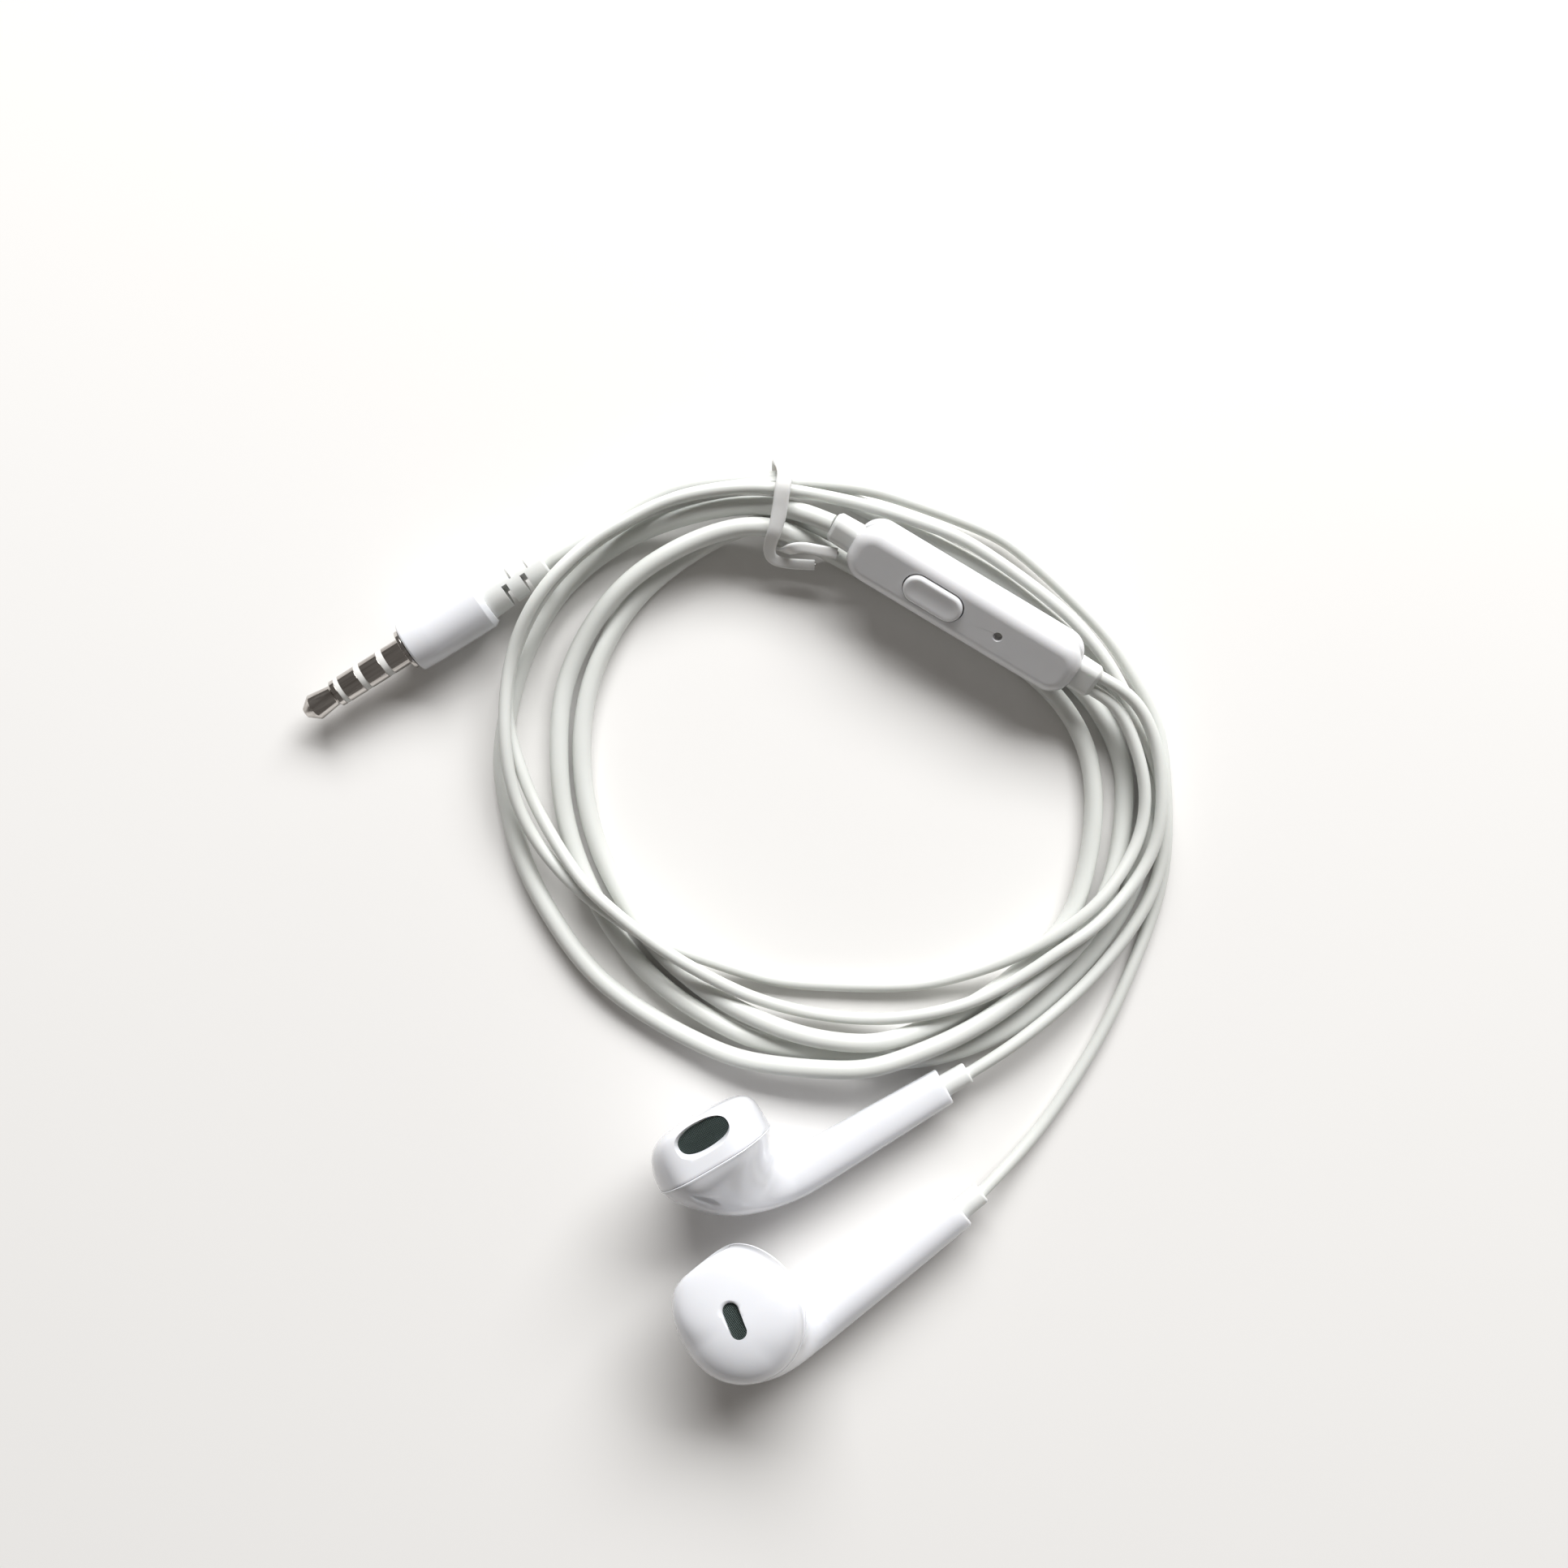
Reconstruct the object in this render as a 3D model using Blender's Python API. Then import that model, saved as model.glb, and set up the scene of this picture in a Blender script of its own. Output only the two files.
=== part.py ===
"""White wired earphones lying as a loosely tied coil: a headphone plug, one thick cord in four turns,
an inline remote where the lead splits, two thin cords and two hard earphones with stems.

Lengths below are in millimetres.  The surface is z = 0, and the origin is under the middle of the box
round the two earphones and the remote.
"""

import math

import bmesh
import bpy
from mathutils import Matrix, Vector

MM = 0.001
GAP = 0.3
HEAD_SEGMENTS = 32
REAR_SEGMENTS = 24

# Cords
MAIN_DIAMETER = 2.35
BRANCH_DIAMETER = 1.55
MAIN_POINTS = 84
BRANCH_POINTS = 60
EASING = 20

# Earphone head, in its own axes: s runs from the head to the stem's end, p out of the sound port's
# facet and f out of the domed front
HEAD_RADIUS = 7.65
HEAD_MIDDLE = 0.6
FACET_REACH = 8.0
FACET_FULLNESS = 1.3
FACET_TURN = 5.0
DOME_HEIGHT = 5.6
DOME_LEAN = 0.125
WALL = 0.85
PORT_SIZE = (7.0, 4.1)
PORT_MIDDLE = (2.2, 4.05)
VENT_SIZE = (1.95, 4.35)
VENT_MIDDLE = (0.6, 0.2)
VENT_TURN = -14.5
MESH_THICKNESS = 0.4
BORE_RADIUS = 1.2
SLEEVE_RADIUS = 1.42
SLEEVE_SPAN = (28.9, 32.2)
STEM_AXIS = (-6.2, -7.4)
KNOT_SPAN = (23.4, 25.9)

# Rear shell and stem: each section is an oval across the line from its back edge to its front edge
# (s, f), reaching from one p to the other; the last value is how much of the facet's fullness it has
REAR_SECTIONS = (
    ((-7.05, 0.0), (8.25, 0.0), (-7.65, 8.0), 1.0),
    ((-6.3, -2.0), (7.6, -1.2), (-8.0, 7.2), 0.6),
    ((-4.95, -4.0), (6.95, -2.3), (-8.3, 5.8), 0.2),
    ((-3.2, -6.1), (6.6, -3.15), (-8.5, 4.0), 0.0),
    ((-0.8, -8.0), (6.5, -3.75), (-8.6, 1.8), 0.0),
    ((2.2, -9.4), (6.7, -4.15), (-8.65, -0.5), 0.0),
    ((5.6, -10.25), (7.5, -4.5), (-8.7, -2.0), 0.0),
    ((9.0, -10.45), (9.4, -4.65), (-8.7, -2.5), 0.0),
    ((18.0, -10.15), (18.0, -4.85), (-8.65, -3.3), 0.0),
    ((28.5, -9.75), (28.6, -5.05), (-8.5, -3.9), 0.0),
)

# Loudspeaker, turned about the dome's axis
FRAME_RADII = (4.6, 5.5, 5.9)
CONE_RADIUS = 5.2
COIL_RADII = (3.1, 3.4)
YOKE_RADII = (3.7, 4.2)
POLE_RADIUS = 2.8

# Where each earphone lies: the head's middle on the seam, the stem's and the port's directions, and
# which hand it is
EARPHONES = {
    "right": {"middle": (-20.25, -25.55, 8.75), "stem": (0.866, 0.5, 0.0), "port": (-0.026, 0.045, 1.0),
              "hand": -1},
    "left": {"middle": (-16.8, -44.75, 9.7), "stem": (0.783, 0.622, -0.03), "port": (-0.6, 0.755, -0.25),
             "hand": 1},
}

# Inline remote, in its own axes: x along it, y across and z out of the button's face.  It lies on two
# strands, rolled towards the middle of the coil
REMOTE_MIDDLE = (10.8, 41.6, 6.4)
REMOTE_SLOPE = -31.0
REMOTE_ROLL = 36.0
REMOTE_LENGTH = 31.5
REMOTE_WIDTH = 7.4
REMOTE_HEIGHT = 6.0
REMOTE_CORNER = 3.0
REMOTE_EDGE = 1.7
REMOTE_WALL = 0.8
BUTTON_ALONG = -3.9
BUTTON_SIZE = (7.9, 3.6)
BUTTON_FLANGE = (8.8, 4.4)
BUTTON_HEIGHTS = (1.4, 1.8, 3.55)
MICROPHONE_ALONG = 5.2
MICROPHONE_HOLE = 1.1
BOARD_SIZE = (24.0, 4.6)
BOARD_HEIGHTS = (-0.9, -0.3)
SWITCH_SIZE = (3.2, 2.4)
SWITCH_HEIGHTS = (0.0, 0.5)
DOME_RADIUS = 1.0
DOME_HEIGHTS = (0.8, 1.05)
MICROPHONE_RADIUS = 1.2
MICROPHONE_HEIGHTS = (0.0, 1.0)
CORD_RELIEF = (3.2, 3.9, 3.2)
SPLIT_RELIEF = (2.8, 4.4, 2.8)

# Plug, along its axis from the rounded nose
PLUG_NOSE = (-70.7, 28.5, 3.55)
PLUG_SLOPE = 32.2
PIN_RADIUS = 1.75
INSULATOR_SPANS = ((5.1, 5.7), (8.05, 8.8), (11.3, 12.1))
CORE_RADII = (0.65, 0.95)
FLANGE_SPAN = (14.6, 15.1)
FLANGE_RADIUS = 2.6
HOUSING_SPAN = (15.4, 26.4)
HOUSING_RADIUS = 3.45
PLUG_RELIEF_SPAN = (26.7, 35.1)
PLUG_RELIEF_RADII = (2.65, 2.1)
SLOT_WIDTH = 0.5
SLOTS_BELOW = (29.4, 32.0)
SLOTS_ABOVE = (30.7, 33.2)

TIE_DIAMETER = 0.9

# The thick cord from the plug to the remote: top, right, bottom and left of each turn in order
MAIN_ROUTE = (
    (-40.8, 47.4, 3.6), (-34.4, 51.3, 2.6), (-30.8, 54.0, 1.7), (-26.8, 56.1, 1.3), (-22.2, 57.3, 1.6),
    (-12.0, 57.7, 2.5), (-6.9, 56.7, 2.1), (-1.8, 54.6, 1.4), (13.4, 46.6, 1.3), (18.5, 43.0, 1.3),
    (27.9, 35.0, 1.3), (31.5, 30.4, 1.3), (33.5, 25.3, 1.3), (34.3, 20.0, 1.3), (33.5, 9.5, 1.3),
    (28.2, -0.4, 1.3), (19.5, -9.1, 1.3), (13.9, -12.4, 1.3), (7.8, -14.4, 1.3), (1.2, -15.0, 1.3),
    (-12.0, -13.2, 1.3), (-18.6, -10.9, 1.3), (-28.5, -4.3, 1.3), (-35.5, 5.9, 1.4), (-39.2, 16.8, 1.7),
    (-39.5, 28.4, 1.7), (-38.2, 34.0, 1.8), (-35.5, 39.4, 2.4), (-31.4, 44.3, 3.4), (-26.5, 47.8, 4.1),
    (-21.0, 50.4, 4.4), (-15.5, 51.6, 5.0), (-11.5, 51.0, 5.0), (-7.5, 49.4, 3.4), (-3.4, 47.5, 1.3),
    (1.7, 44.6, 1.3), (18.5, 34.8, 1.3), (26.1, 25.9, 1.3), (27.6, 15.7, 1.3), (25.4, 4.9, 1.4),
    (22.5, 0.5, 1.6), (13.9, -7.2, 1.6), (2.7, -12.2, 2.4), (-2.9, -12.5, 3.4), (-9.0, -11.6, 3.4),
    (-15.0, -9.5, 2.6), (-20.4, -6.7, 1.6), (-24.8, -3.3, 1.3), (-28.7, 0.8, 1.3), (-34.6, 11.0, 1.3),
    (-36.9, 22.3, 1.3), (-35.5, 33.5, 1.3), (-29.4, 43.9, 1.3), (-19.1, 51.0, 1.6), (-13.5, 52.2, 3.1),
    (-8.0, 52.2, 2.3), (-2.9, 50.6, 1.3), (8.3, 45.6, 1.3), (13.9, 42.3, 1.3), (24.2, 33.5, 1.3),
    (28.1, 29.0, 1.3), (30.5, 24.2, 1.3), (31.5, 19.3, 1.3), (30.4, 10.2, 1.7), (28.8, 5.9, 2.9),
    (26.5, 1.6, 3.5), (22.9, -2.3, 3.6), (13.1, -10.2, 3.6), (2.0, -14.8, 4.1), (-3.5, -15.8, 4.0),
    (-15.5, -15.0, 2.7), (-21.6, -12.9, 1.6), (-27.3, -10.0, 1.3), (-32.9, -6.2, 1.3), (-37.6, -1.4, 1.3),
    (-43.9, 9.1, 1.3), (-46.5, 19.8, 1.3), (-46.6, 25.4, 1.3), (-44.1, 35.8, 1.3), (-38.5, 45.1, 1.3),
    (-29.3, 51.4, 1.9), (-18.5, 54.1, 3.8), (-13.0, 54.0, 4.6), (-9.2, 53.1, 5.7), (-5.9, 51.65, 6.4),
)

# The thin cords from the remote to the earphones, once round the coil each
RIGHT_ROUTE = (
    (26.5, 31.2, 5.8), (30.1, 28.5, 5.6), (33.2, 19.8, 4.6), (32.5, 12.8, 4.2), (28.6, 6.6, 5.2),
    (25.3, 3.3, 5.1), (21.1, 0.3, 4.3), (16.2, -2.3, 3.0), (10.3, -4.4, 1.8), (3.8, -5.7, 1.1),
    (-9.5, -5.4, 0.9), (-15.6, -4.2, 1.2), (-25.1, -0.7, 3.2), (-29.6, 1.4, 3.7), (-37.6, 7.1, 3.7),
    (-43.7, 15.2, 4.0), (-45.7, 24.3, 5.4), (-45.1, 34.7, 5.7), (-41.0, 43.0, 8.3), (-34.7, 49.5, 7.1),
    (-30.9, 51.9, 5.9), (-26.4, 54.3, 5.5), (-21.4, 55.5, 5.7), (-16.5, 55.9, 6.4), (-11.5, 55.7, 6.8),
    (-2.5, 54.4, 4.6), (2.6, 53.1, 3.7), (7.6, 51.4, 3.5), (12.6, 49.1, 3.5), (22.4, 42.0, 3.5),
    (26.8, 37.4, 3.6), (30.2, 32.4, 3.6), (34.5, 22.8, 3.5), (35.7, 18.3, 3.1), (35.7, 9.7, 2.7),
    (32.3, 2.1, 2.6), (25.4, -6.0, 2.9), (17.6, -12.4, 3.1), (11.9, -16.1, 2.95),
)
LEFT_ROUTE = (
    (27.4, 32.6, 7.0), (31.6, 29.9, 6.6), (34.5, 24.1, 5.5), (35.1, 16.3, 5.2), (33.3, 9.6, 4.7),
    (27.5, 2.7, 5.6), (23.0, -0.4, 5.6), (18.5, -3.7, 4.9), (13.1, -6.8, 4.1), (7.1, -8.7, 3.8),
    (0.7, -9.7, 2.2), (-6.4, -9.3, 1.5), (-13.0, -7.7, 2.3), (-18.5, -5.4, 3.5), (-26.5, -0.6, 5.4),
    (-33.4, 5.0, 5.6), (-37.0, 8.6, 4.9), (-42.2, 16.8, 3.5), (-45.1, 24.8, 3.6), (-45.8, 29.4, 3.6),
    (-45.2, 34.6, 3.8), (-43.3, 39.1, 4.8), (-40.9, 42.9, 6.2), (-38.0, 46.3, 6.1), (-34.7, 49.5, 4.9),
    (-30.8, 52.1, 3.9), (-26.3, 54.7, 3.6), (-21.5, 56.0, 3.8), (-12.0, 56.9, 4.9), (-2.9, 56.5, 3.6),
    (2.7, 55.4, 2.3), (12.9, 51.8, 1.6), (18.3, 48.7, 1.6), (28.2, 39.3, 1.6), (31.8, 34.1, 1.5),
    (34.6, 29.3, 1.1), (36.2, 24.1, 0.9), (36.6, 9.1, 0.9), (32.2, -3.7, 0.9), (27.6, -13.3, 0.9),
    (20.7, -23.7, 1.0), (13.45, -30.8, 2.95),
)

# The wire tie: one tail's end, its loop round the strands at the top of the coil, the other tail's end
TIE_ROUTE = (
    (-4.9, 48.0, 5.6), (-7.3, 48.4, 5.8), (-9.1, 48.7, 5.8), (-10.4, 48.6, 5.4), (-11.1, 48.5, 4.3),
    (-11.5, 48.8, 3.0), (-11.9, 49.5, 1.6), (-12.0, 51.0, 0.8), (-12.0, 52.5, 0.5), (-12.0, 54.9, 0.5),
    (-12.0, 57.0, 0.5), (-12.0, 58.7, 0.75), (-12.0, 59.7, 1.8), (-11.9, 59.85, 3.2), (-11.7, 59.2, 4.8),
    (-11.4, 58.3, 6.6), (-11.3, 57.1, 8.1), (-11.5, 55.8, 8.55), (-11.7, 54.6, 8.3), (-11.9, 53.2, 7.8),
    (-12.2, 51.7, 7.3), (-12.6, 50.4, 6.8), (-13.0, 49.4, 5.9), (-13.2, 48.5, 4.9), (-12.8, 47.6, 4.0),
    (-11.1, 47.1, 3.4), (-7.6, 46.9, 3.3),
)
TIE_POINTS = 44


def clear_scene():
    for item in list(bpy.data.objects):
        bpy.data.objects.remove(item, do_unlink=True)


def make_material(name, colour, roughness, metallic=0.0):
    look = bpy.data.materials.new(name)
    look.use_nodes = True
    shader = look.node_tree.nodes["Principled BSDF"]
    shader.inputs["Base Color"].default_value = (*colour, 1.0)
    shader.inputs["Roughness"].default_value = roughness
    shader.inputs["Metallic"].default_value = metallic
    return look


def frame_from(origin, x_axis, y_axis):
    """Right-handed axes at a point, with y squared up to x."""
    x = Vector(x_axis).normalized()
    z = x.cross(Vector(y_axis)).normalized()
    y = z.cross(x)
    frame = Matrix((x, y, z)).transposed().to_4x4()
    frame.translation = Vector(origin)
    return frame


def along_x(frame, x, y, z):
    """A frame at a point of another, whose z axis is the other's x axis."""
    return frame @ Matrix.Translation((x, y, z)) @ Matrix.Rotation(math.radians(90), 4, "Y")


def add_object(name, data, frame, look):
    data.materials.append(look)
    piece = bpy.data.objects.new(name, data)
    bpy.context.collection.objects.link(piece)
    placed = frame.copy()
    placed.translation *= MM
    piece.matrix_world = placed
    return piece


def add_piece(name, bm, frame, look):
    mesh = bpy.data.meshes.new(name)
    bmesh.ops.recalc_face_normals(bm, faces=bm.faces[:])
    bm.transform(Matrix.Scale(MM, 4))
    bm.to_mesh(mesh)
    bm.free()
    mesh.shade_smooth()
    mesh.set_sharp_from_angle(angle=math.radians(35))
    return add_object(name, mesh, frame, look)


def add_cut(piece, name, bm, frame, look):
    """Take a shape out of a piece."""
    cutter = add_piece(name, bm, frame, look)
    cutter.hide_render = True
    cutter.display_type = "WIRE"
    cut = piece.modifiers.new(name, "BOOLEAN")
    cut.operation = "DIFFERENCE"
    cut.solver = "EXACT"
    cut.object = cutter


def bridge(bm, first, second):
    """Faces between two rings of vertices; a ring of one vertex is a pole."""
    count = max(len(first), len(second))
    for i in range(count):
        j = (i + 1) % count
        if len(first) == 1:
            corners = (first[0], second[i], second[j])
        elif len(second) == 1:
            corners = (first[i], first[j], second[0])
        else:
            corners = (first[i], first[j], second[j], second[i])
        bm.faces.new(corners)


def skin(rings, closed=False):
    """One closed surface over rings of points: capped at its ends, or joined end to start."""
    bm = bmesh.new()
    rows = [[bm.verts.new(point) for point in ring] for ring in rings]
    for first, second in zip(rows, rows[1:]):
        bridge(bm, first, second)
    if closed:
        bridge(bm, rows[-1], rows[0])
        return bm
    for row in (rows[0], rows[-1]):
        if len(row) > 1:
            bm.faces.new(row)
    return bm


def turned(profile, segments, closed=False, middle=(0.0, 0.0)):
    """A profile of (height, radius) pairs turned about a line along z."""
    rings = []
    for height, radius in profile:
        if radius == 0:
            rings.append([(middle[0], middle[1], height)])
            continue
        turns = [2 * math.pi * i / segments for i in range(segments)]
        rings.append([(middle[0] + radius * math.cos(a), middle[1] + radius * math.sin(a), height)
                      for a in turns])
    return skin(rings, closed)


def rounded_outline(length, width, corner, steps=5):
    """A rectangle with round corners, as (x, y) points."""
    points = []
    for quarter in range(4):
        x = (length / 2 - corner) * (1 if quarter in (0, 3) else -1)
        y = (width / 2 - corner) * (1 if quarter in (0, 1) else -1)
        for step in range(steps + 1):
            angle = math.radians(90 * (quarter + step / steps))
            points.append((x + corner * math.cos(angle), y + corner * math.sin(angle)))
    return points


def pill(length, width, low, high, middle=(0.0, 0.0)):
    """A plate with half-round ends between two heights."""
    corner = min(length, width) / 2 - 0.01
    outline = rounded_outline(length, width, corner)
    return skin([[(x + middle[0], y + middle[1], z) for x, y in outline] for z in (low, high)])


def block(length, width, low, high, middle=(0.0, 0.0)):
    x, y = middle
    corners = [(x + a * length / 2, y + b * width / 2) for a, b in ((1, 1), (-1, 1), (-1, -1), (1, -1))]
    return skin([[(*corner, z) for corner in corners] for z in (low, high)])


def smooth_line(points, steps):
    """A Catmull-Rom curve through tuples of any length."""
    ends = [tuple(2 * a - b for a, b in zip(points[0], points[1]))]
    tail = [tuple(2 * a - b for a, b in zip(points[-1], points[-2]))]
    chain = ends + list(points) + tail
    line = []
    for p0, p1, p2, p3 in zip(chain, chain[1:], chain[2:], chain[3:]):
        for step in range(steps):
            t = step / steps
            line.append(tuple(
                0.5 * (2 * b + (c - a) * t + (2 * a - 5 * b + 4 * c - d) * t ** 2
                       + (3 * b - a - 3 * c + d) * t ** 3)
                for a, b, c, d in zip(p0, p1, p2, p3)))
    line.append(tuple(points[-1]))
    return line


def relaxed(line, passes):
    """The line with its small kinks eased out, its ends kept."""
    for _ in range(passes):
        middle = [tuple((a + 2 * b + c) / 4 for a, b, c in zip(p, q, r))
                  for p, q, r in zip(line, line[1:], line[2:])]
        line = [line[0]] + middle + [line[-1]]
    return line


def even_points(line, count):
    """The same line with its points evenly spaced."""
    reach = [0.0]
    for a, b in zip(line, line[1:]):
        reach.append(reach[-1] + math.dist(a, b))
    points = []
    index = 0
    for i in range(count):
        target = reach[-1] * i / (count - 1)
        while index < len(line) - 2 and reach[index + 1] < target:
            index += 1
        part = (target - reach[index]) / (reach[index + 1] - reach[index])
        points.append(tuple(a + (b - a) * part for a, b in zip(line[index], line[index + 1])))
    return points


def add_tube(name, route, diameter, count, look):
    """A round cord along a route."""
    curve = bpy.data.curves.new(name, "CURVE")
    curve.dimensions = "3D"
    curve.bevel_depth = diameter / 2 * MM
    curve.bevel_resolution = 2
    curve.resolution_u = 1
    curve.render_resolution_u = 0
    curve.use_fill_caps = True
    spline = curve.splines.new("POLY")
    points = even_points(relaxed(smooth_line(route, 12), EASING), count)
    spline.points.add(count - 1)
    for target, point in zip(spline.points, points):
        target.co = (*(value * MM for value in point), 1.0)
    return add_object(name, curve, Matrix.Identity(4), look)


def facet_fullness(turn):
    """How much fuller than round the head is in a direction: 1 towards the port, 0 behind it."""
    return max(0.0, math.sin(turn + math.radians(FACET_TURN))) ** 1.5


def head_rings(angles, radius, reach, height, base):
    """The domed front's rings from the seam to the top, without the pole."""
    rings = []
    for lift in angles:
        t = math.sin(math.radians(lift))
        ring = []
        for i in range(HEAD_SEGMENTS):
            turn = 2 * math.pi * i / HEAD_SEGMENTS
            full = facet_fullness(turn)
            power = 2.3 + 3.2 * full + 1.2 * max(0.0, math.cos(turn)) ** 2
            scale = (radius + FACET_FULLNESS * full) * (1 - t ** power) ** (1 / power)
            p = min(scale * math.sin(turn), reach)
            ring.append((HEAD_MIDDLE + scale * math.cos(turn), p, base + t * (height + DOME_LEAN * p)))
        rings.append(ring)
    return rings


def mirrored(rings, hand):
    """Rings of (s, p, f) points for one hand."""
    return [[(s, hand * p, f) for s, p, f in ring] for ring in rings]


def front_shell(side, frame, hand, look):
    """The domed half of the head, with the sound port in its facet and a vent slot in its top."""
    seam = GAP / 2
    outer = head_rings((0, 12, 24, 36, 47, 57, 66, 74, 81), HEAD_RADIUS, FACET_REACH, DOME_HEIGHT, seam)
    inner = head_rings((0, 18, 35, 50, 64, 76), HEAD_RADIUS - WALL, FACET_REACH - WALL,
                       DOME_HEIGHT - WALL, seam)
    top = [(HEAD_MIDDLE, 0.0, seam + DOME_HEIGHT)]
    ceiling = [(HEAD_MIDDLE, 0.0, seam + DOME_HEIGHT - WALL)]
    rings = [ceiling] + inner[::-1] + outer + [top]
    shell = add_piece("front_shell_" + side, skin(mirrored(rings, hand)), frame, look)
    port = pill(PORT_SIZE[0], PORT_SIZE[1], -2.0, 2.0)
    across = Matrix.Rotation(math.radians(90), 4, "X")
    port.transform(Matrix.Translation((PORT_MIDDLE[0], hand * FACET_REACH, PORT_MIDDLE[1])) @ across)
    add_cut(shell, "port_cutter_" + side, port, frame, look)
    vent = vent_plate(hand, 0.0, 3.5, 7.5)
    add_cut(shell, "vent_cutter_" + side, vent, frame, look)


def vent_plate(hand, inset, low, high):
    """The vent slot's outline as a plate between two heights, made smaller by an inset."""
    plate = pill(VENT_SIZE[0] - 2 * inset, VENT_SIZE[1] - 2 * inset, low, high)
    turn = Matrix.Rotation(math.radians(hand * VENT_TURN), 4, "Z")
    plate.transform(Matrix.Translation((VENT_MIDDLE[0], hand * VENT_MIDDLE[1], 0.0)) @ turn)
    return plate


def sound_meshes(side, frame, hand, look):
    """The dark meshes set into the sound port and the vent slot."""
    depth = FACET_REACH - WALL
    port = pill(PORT_SIZE[0] - 2 * GAP, PORT_SIZE[1] - 2 * GAP, -MESH_THICKNESS / 2, MESH_THICKNESS / 2)
    across = Matrix.Rotation(math.radians(90), 4, "X")
    port.transform(Matrix.Translation((PORT_MIDDLE[0], hand * (depth + 0.2), PORT_MIDDLE[1])) @ across)
    add_piece("port_mesh_" + side, port, frame, look)
    top = GAP / 2 + DOME_HEIGHT - WALL
    vent = vent_plate(hand, GAP, top, top + MESH_THICKNESS)
    add_piece("vent_mesh_" + side, vent, frame, look)


def rear_ring(section, inset):
    """One oval of the rear shell; the inset moves it inwards."""
    back_s, back_f, front_s, front_f, p_low, p_high, full = section
    middle = Vector(((back_s + front_s) / 2, (back_f + front_f) / 2))
    half = Vector(((front_s - back_s) / 2, (front_f - back_f) / 2))
    half = half * (1 - inset / half.length)
    p_middle = (p_low + p_high) / 2
    p_half = (p_high - p_low) / 2 - inset
    ring = []
    for i in range(REAR_SEGMENTS):
        turn = 2 * math.pi * i / REAR_SEGMENTS
        swell = 1 + full * FACET_FULLNESS / HEAD_RADIUS * facet_fullness(turn)
        across = middle + half * swell * math.cos(turn)
        p = p_middle + min(p_half * swell * math.sin(turn), p_half)
        ring.append((across.x, p, across.y))
    return ring


def bore_ring(s):
    ring = []
    for i in range(REAR_SEGMENTS):
        turn = 2 * math.pi * i / REAR_SEGMENTS
        ring.append((s, STEM_AXIS[0] + BORE_RADIUS * math.sin(turn),
                     STEM_AXIS[1] + BORE_RADIUS * math.cos(turn)))
    return ring


def rear_shell(side, frame, hand, look):
    """The rear half of the head, running on into the hollow stem with a bored end."""
    seam = Vector((0.0, 0.0, -GAP / 2))
    sections = [(*back, *front, *reach, full) for back, front, reach, full in REAR_SECTIONS]
    line = smooth_line(sections, 2)
    outer = [rear_ring(section, 0.0) for section in line]
    inner = [rear_ring(section, WALL) for section in line[:-1]]
    end = REAR_SECTIONS[-1][0][0]
    rings = outer + [bore_ring(end), bore_ring(end - WALL)] + inner[::-1]
    rings = [[tuple(Vector(point) + seam) for point in ring] for ring in rings]
    add_piece("rear_shell_" + side, skin(mirrored(rings, hand), closed=True), frame, look)


def stem_pieces(side, frame, hand, sleeve_look, knot_look):
    """The soft sleeve on the stem's end, and the bead that keeps the cord in the stem."""
    axis = along_x(frame, 0.0, hand * STEM_AXIS[0], STEM_AXIS[1] - GAP / 2)
    start, end = SLEEVE_SPAN
    sleeve = turned(((start, SLEEVE_RADIUS), (end - 0.3, SLEEVE_RADIUS - 0.06), (end, SLEEVE_RADIUS - 0.3)), 14)
    add_piece("cord_sleeve_" + side, sleeve, axis, sleeve_look)
    start, end = KNOT_SPAN
    knot = turned(((start, 0.7), (start + 0.6, BORE_RADIUS), (end - 0.6, BORE_RADIUS), (end, 0.7)), 12)
    add_piece("cord_knot_" + side, knot, axis, knot_look)


def loudspeaker(side, frame, looks):
    """The driver inside the head: frame, coned diaphragm with its coil, pole plate, magnet and yoke."""
    middle = (HEAD_MIDDLE, 0.0)
    floor, wall_in, wall_out = FRAME_RADII
    frame_profile = ((-1.3, floor), (-1.3, wall_out), (0.6, wall_out), (0.6, wall_in), (-0.9, wall_in),
                     (-0.9, floor))
    add_piece("driver_frame_" + side, turned(frame_profile, 20, True, middle), frame, looks["plastic"])
    coil_in, coil_out = COIL_RADII
    cone = ((0.4, 0.0), (0.4, CONE_RADIUS), (0.1, CONE_RADIUS), (0.1, coil_out), (-1.4, coil_out),
            (-1.4, coil_in), (0.1, coil_in), (0.1, 0.0))
    add_piece("driver_diaphragm_" + side, turned(cone, 20, False, middle), frame, looks["film"])
    plate = ((-0.6, POLE_RADIUS), (-1.1, POLE_RADIUS))
    add_piece("driver_plate_" + side, turned(plate, 20, False, middle), frame, looks["steel"])
    magnet = ((-1.4, POLE_RADIUS - 0.1), (-2.3, POLE_RADIUS - 0.1))
    add_piece("driver_magnet_" + side, turned(magnet, 20, False, middle), frame, looks["magnet"])
    yoke_in, yoke_out = YOKE_RADII
    yoke = ((-2.6, 0.0), (-2.6, yoke_in), (-0.6, yoke_in), (-0.6, yoke_out), (-3.0, yoke_out), (-3.0, 0.0))
    add_piece("driver_yoke_" + side, turned(yoke, 20, False, middle), frame, looks["steel"])


def earphone(side, lie, looks):
    hand = lie["hand"]
    frame = frame_from(lie["middle"], lie["stem"], [hand * value for value in lie["port"]])
    front_shell(side, frame, hand, looks["gloss"])
    rear_shell(side, frame, hand, looks["gloss"])
    sound_meshes(side, frame, hand, looks["mesh"])
    stem_pieces(side, frame, hand, looks["soft"], looks["film"])
    loudspeaker(side, frame, looks)


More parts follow.
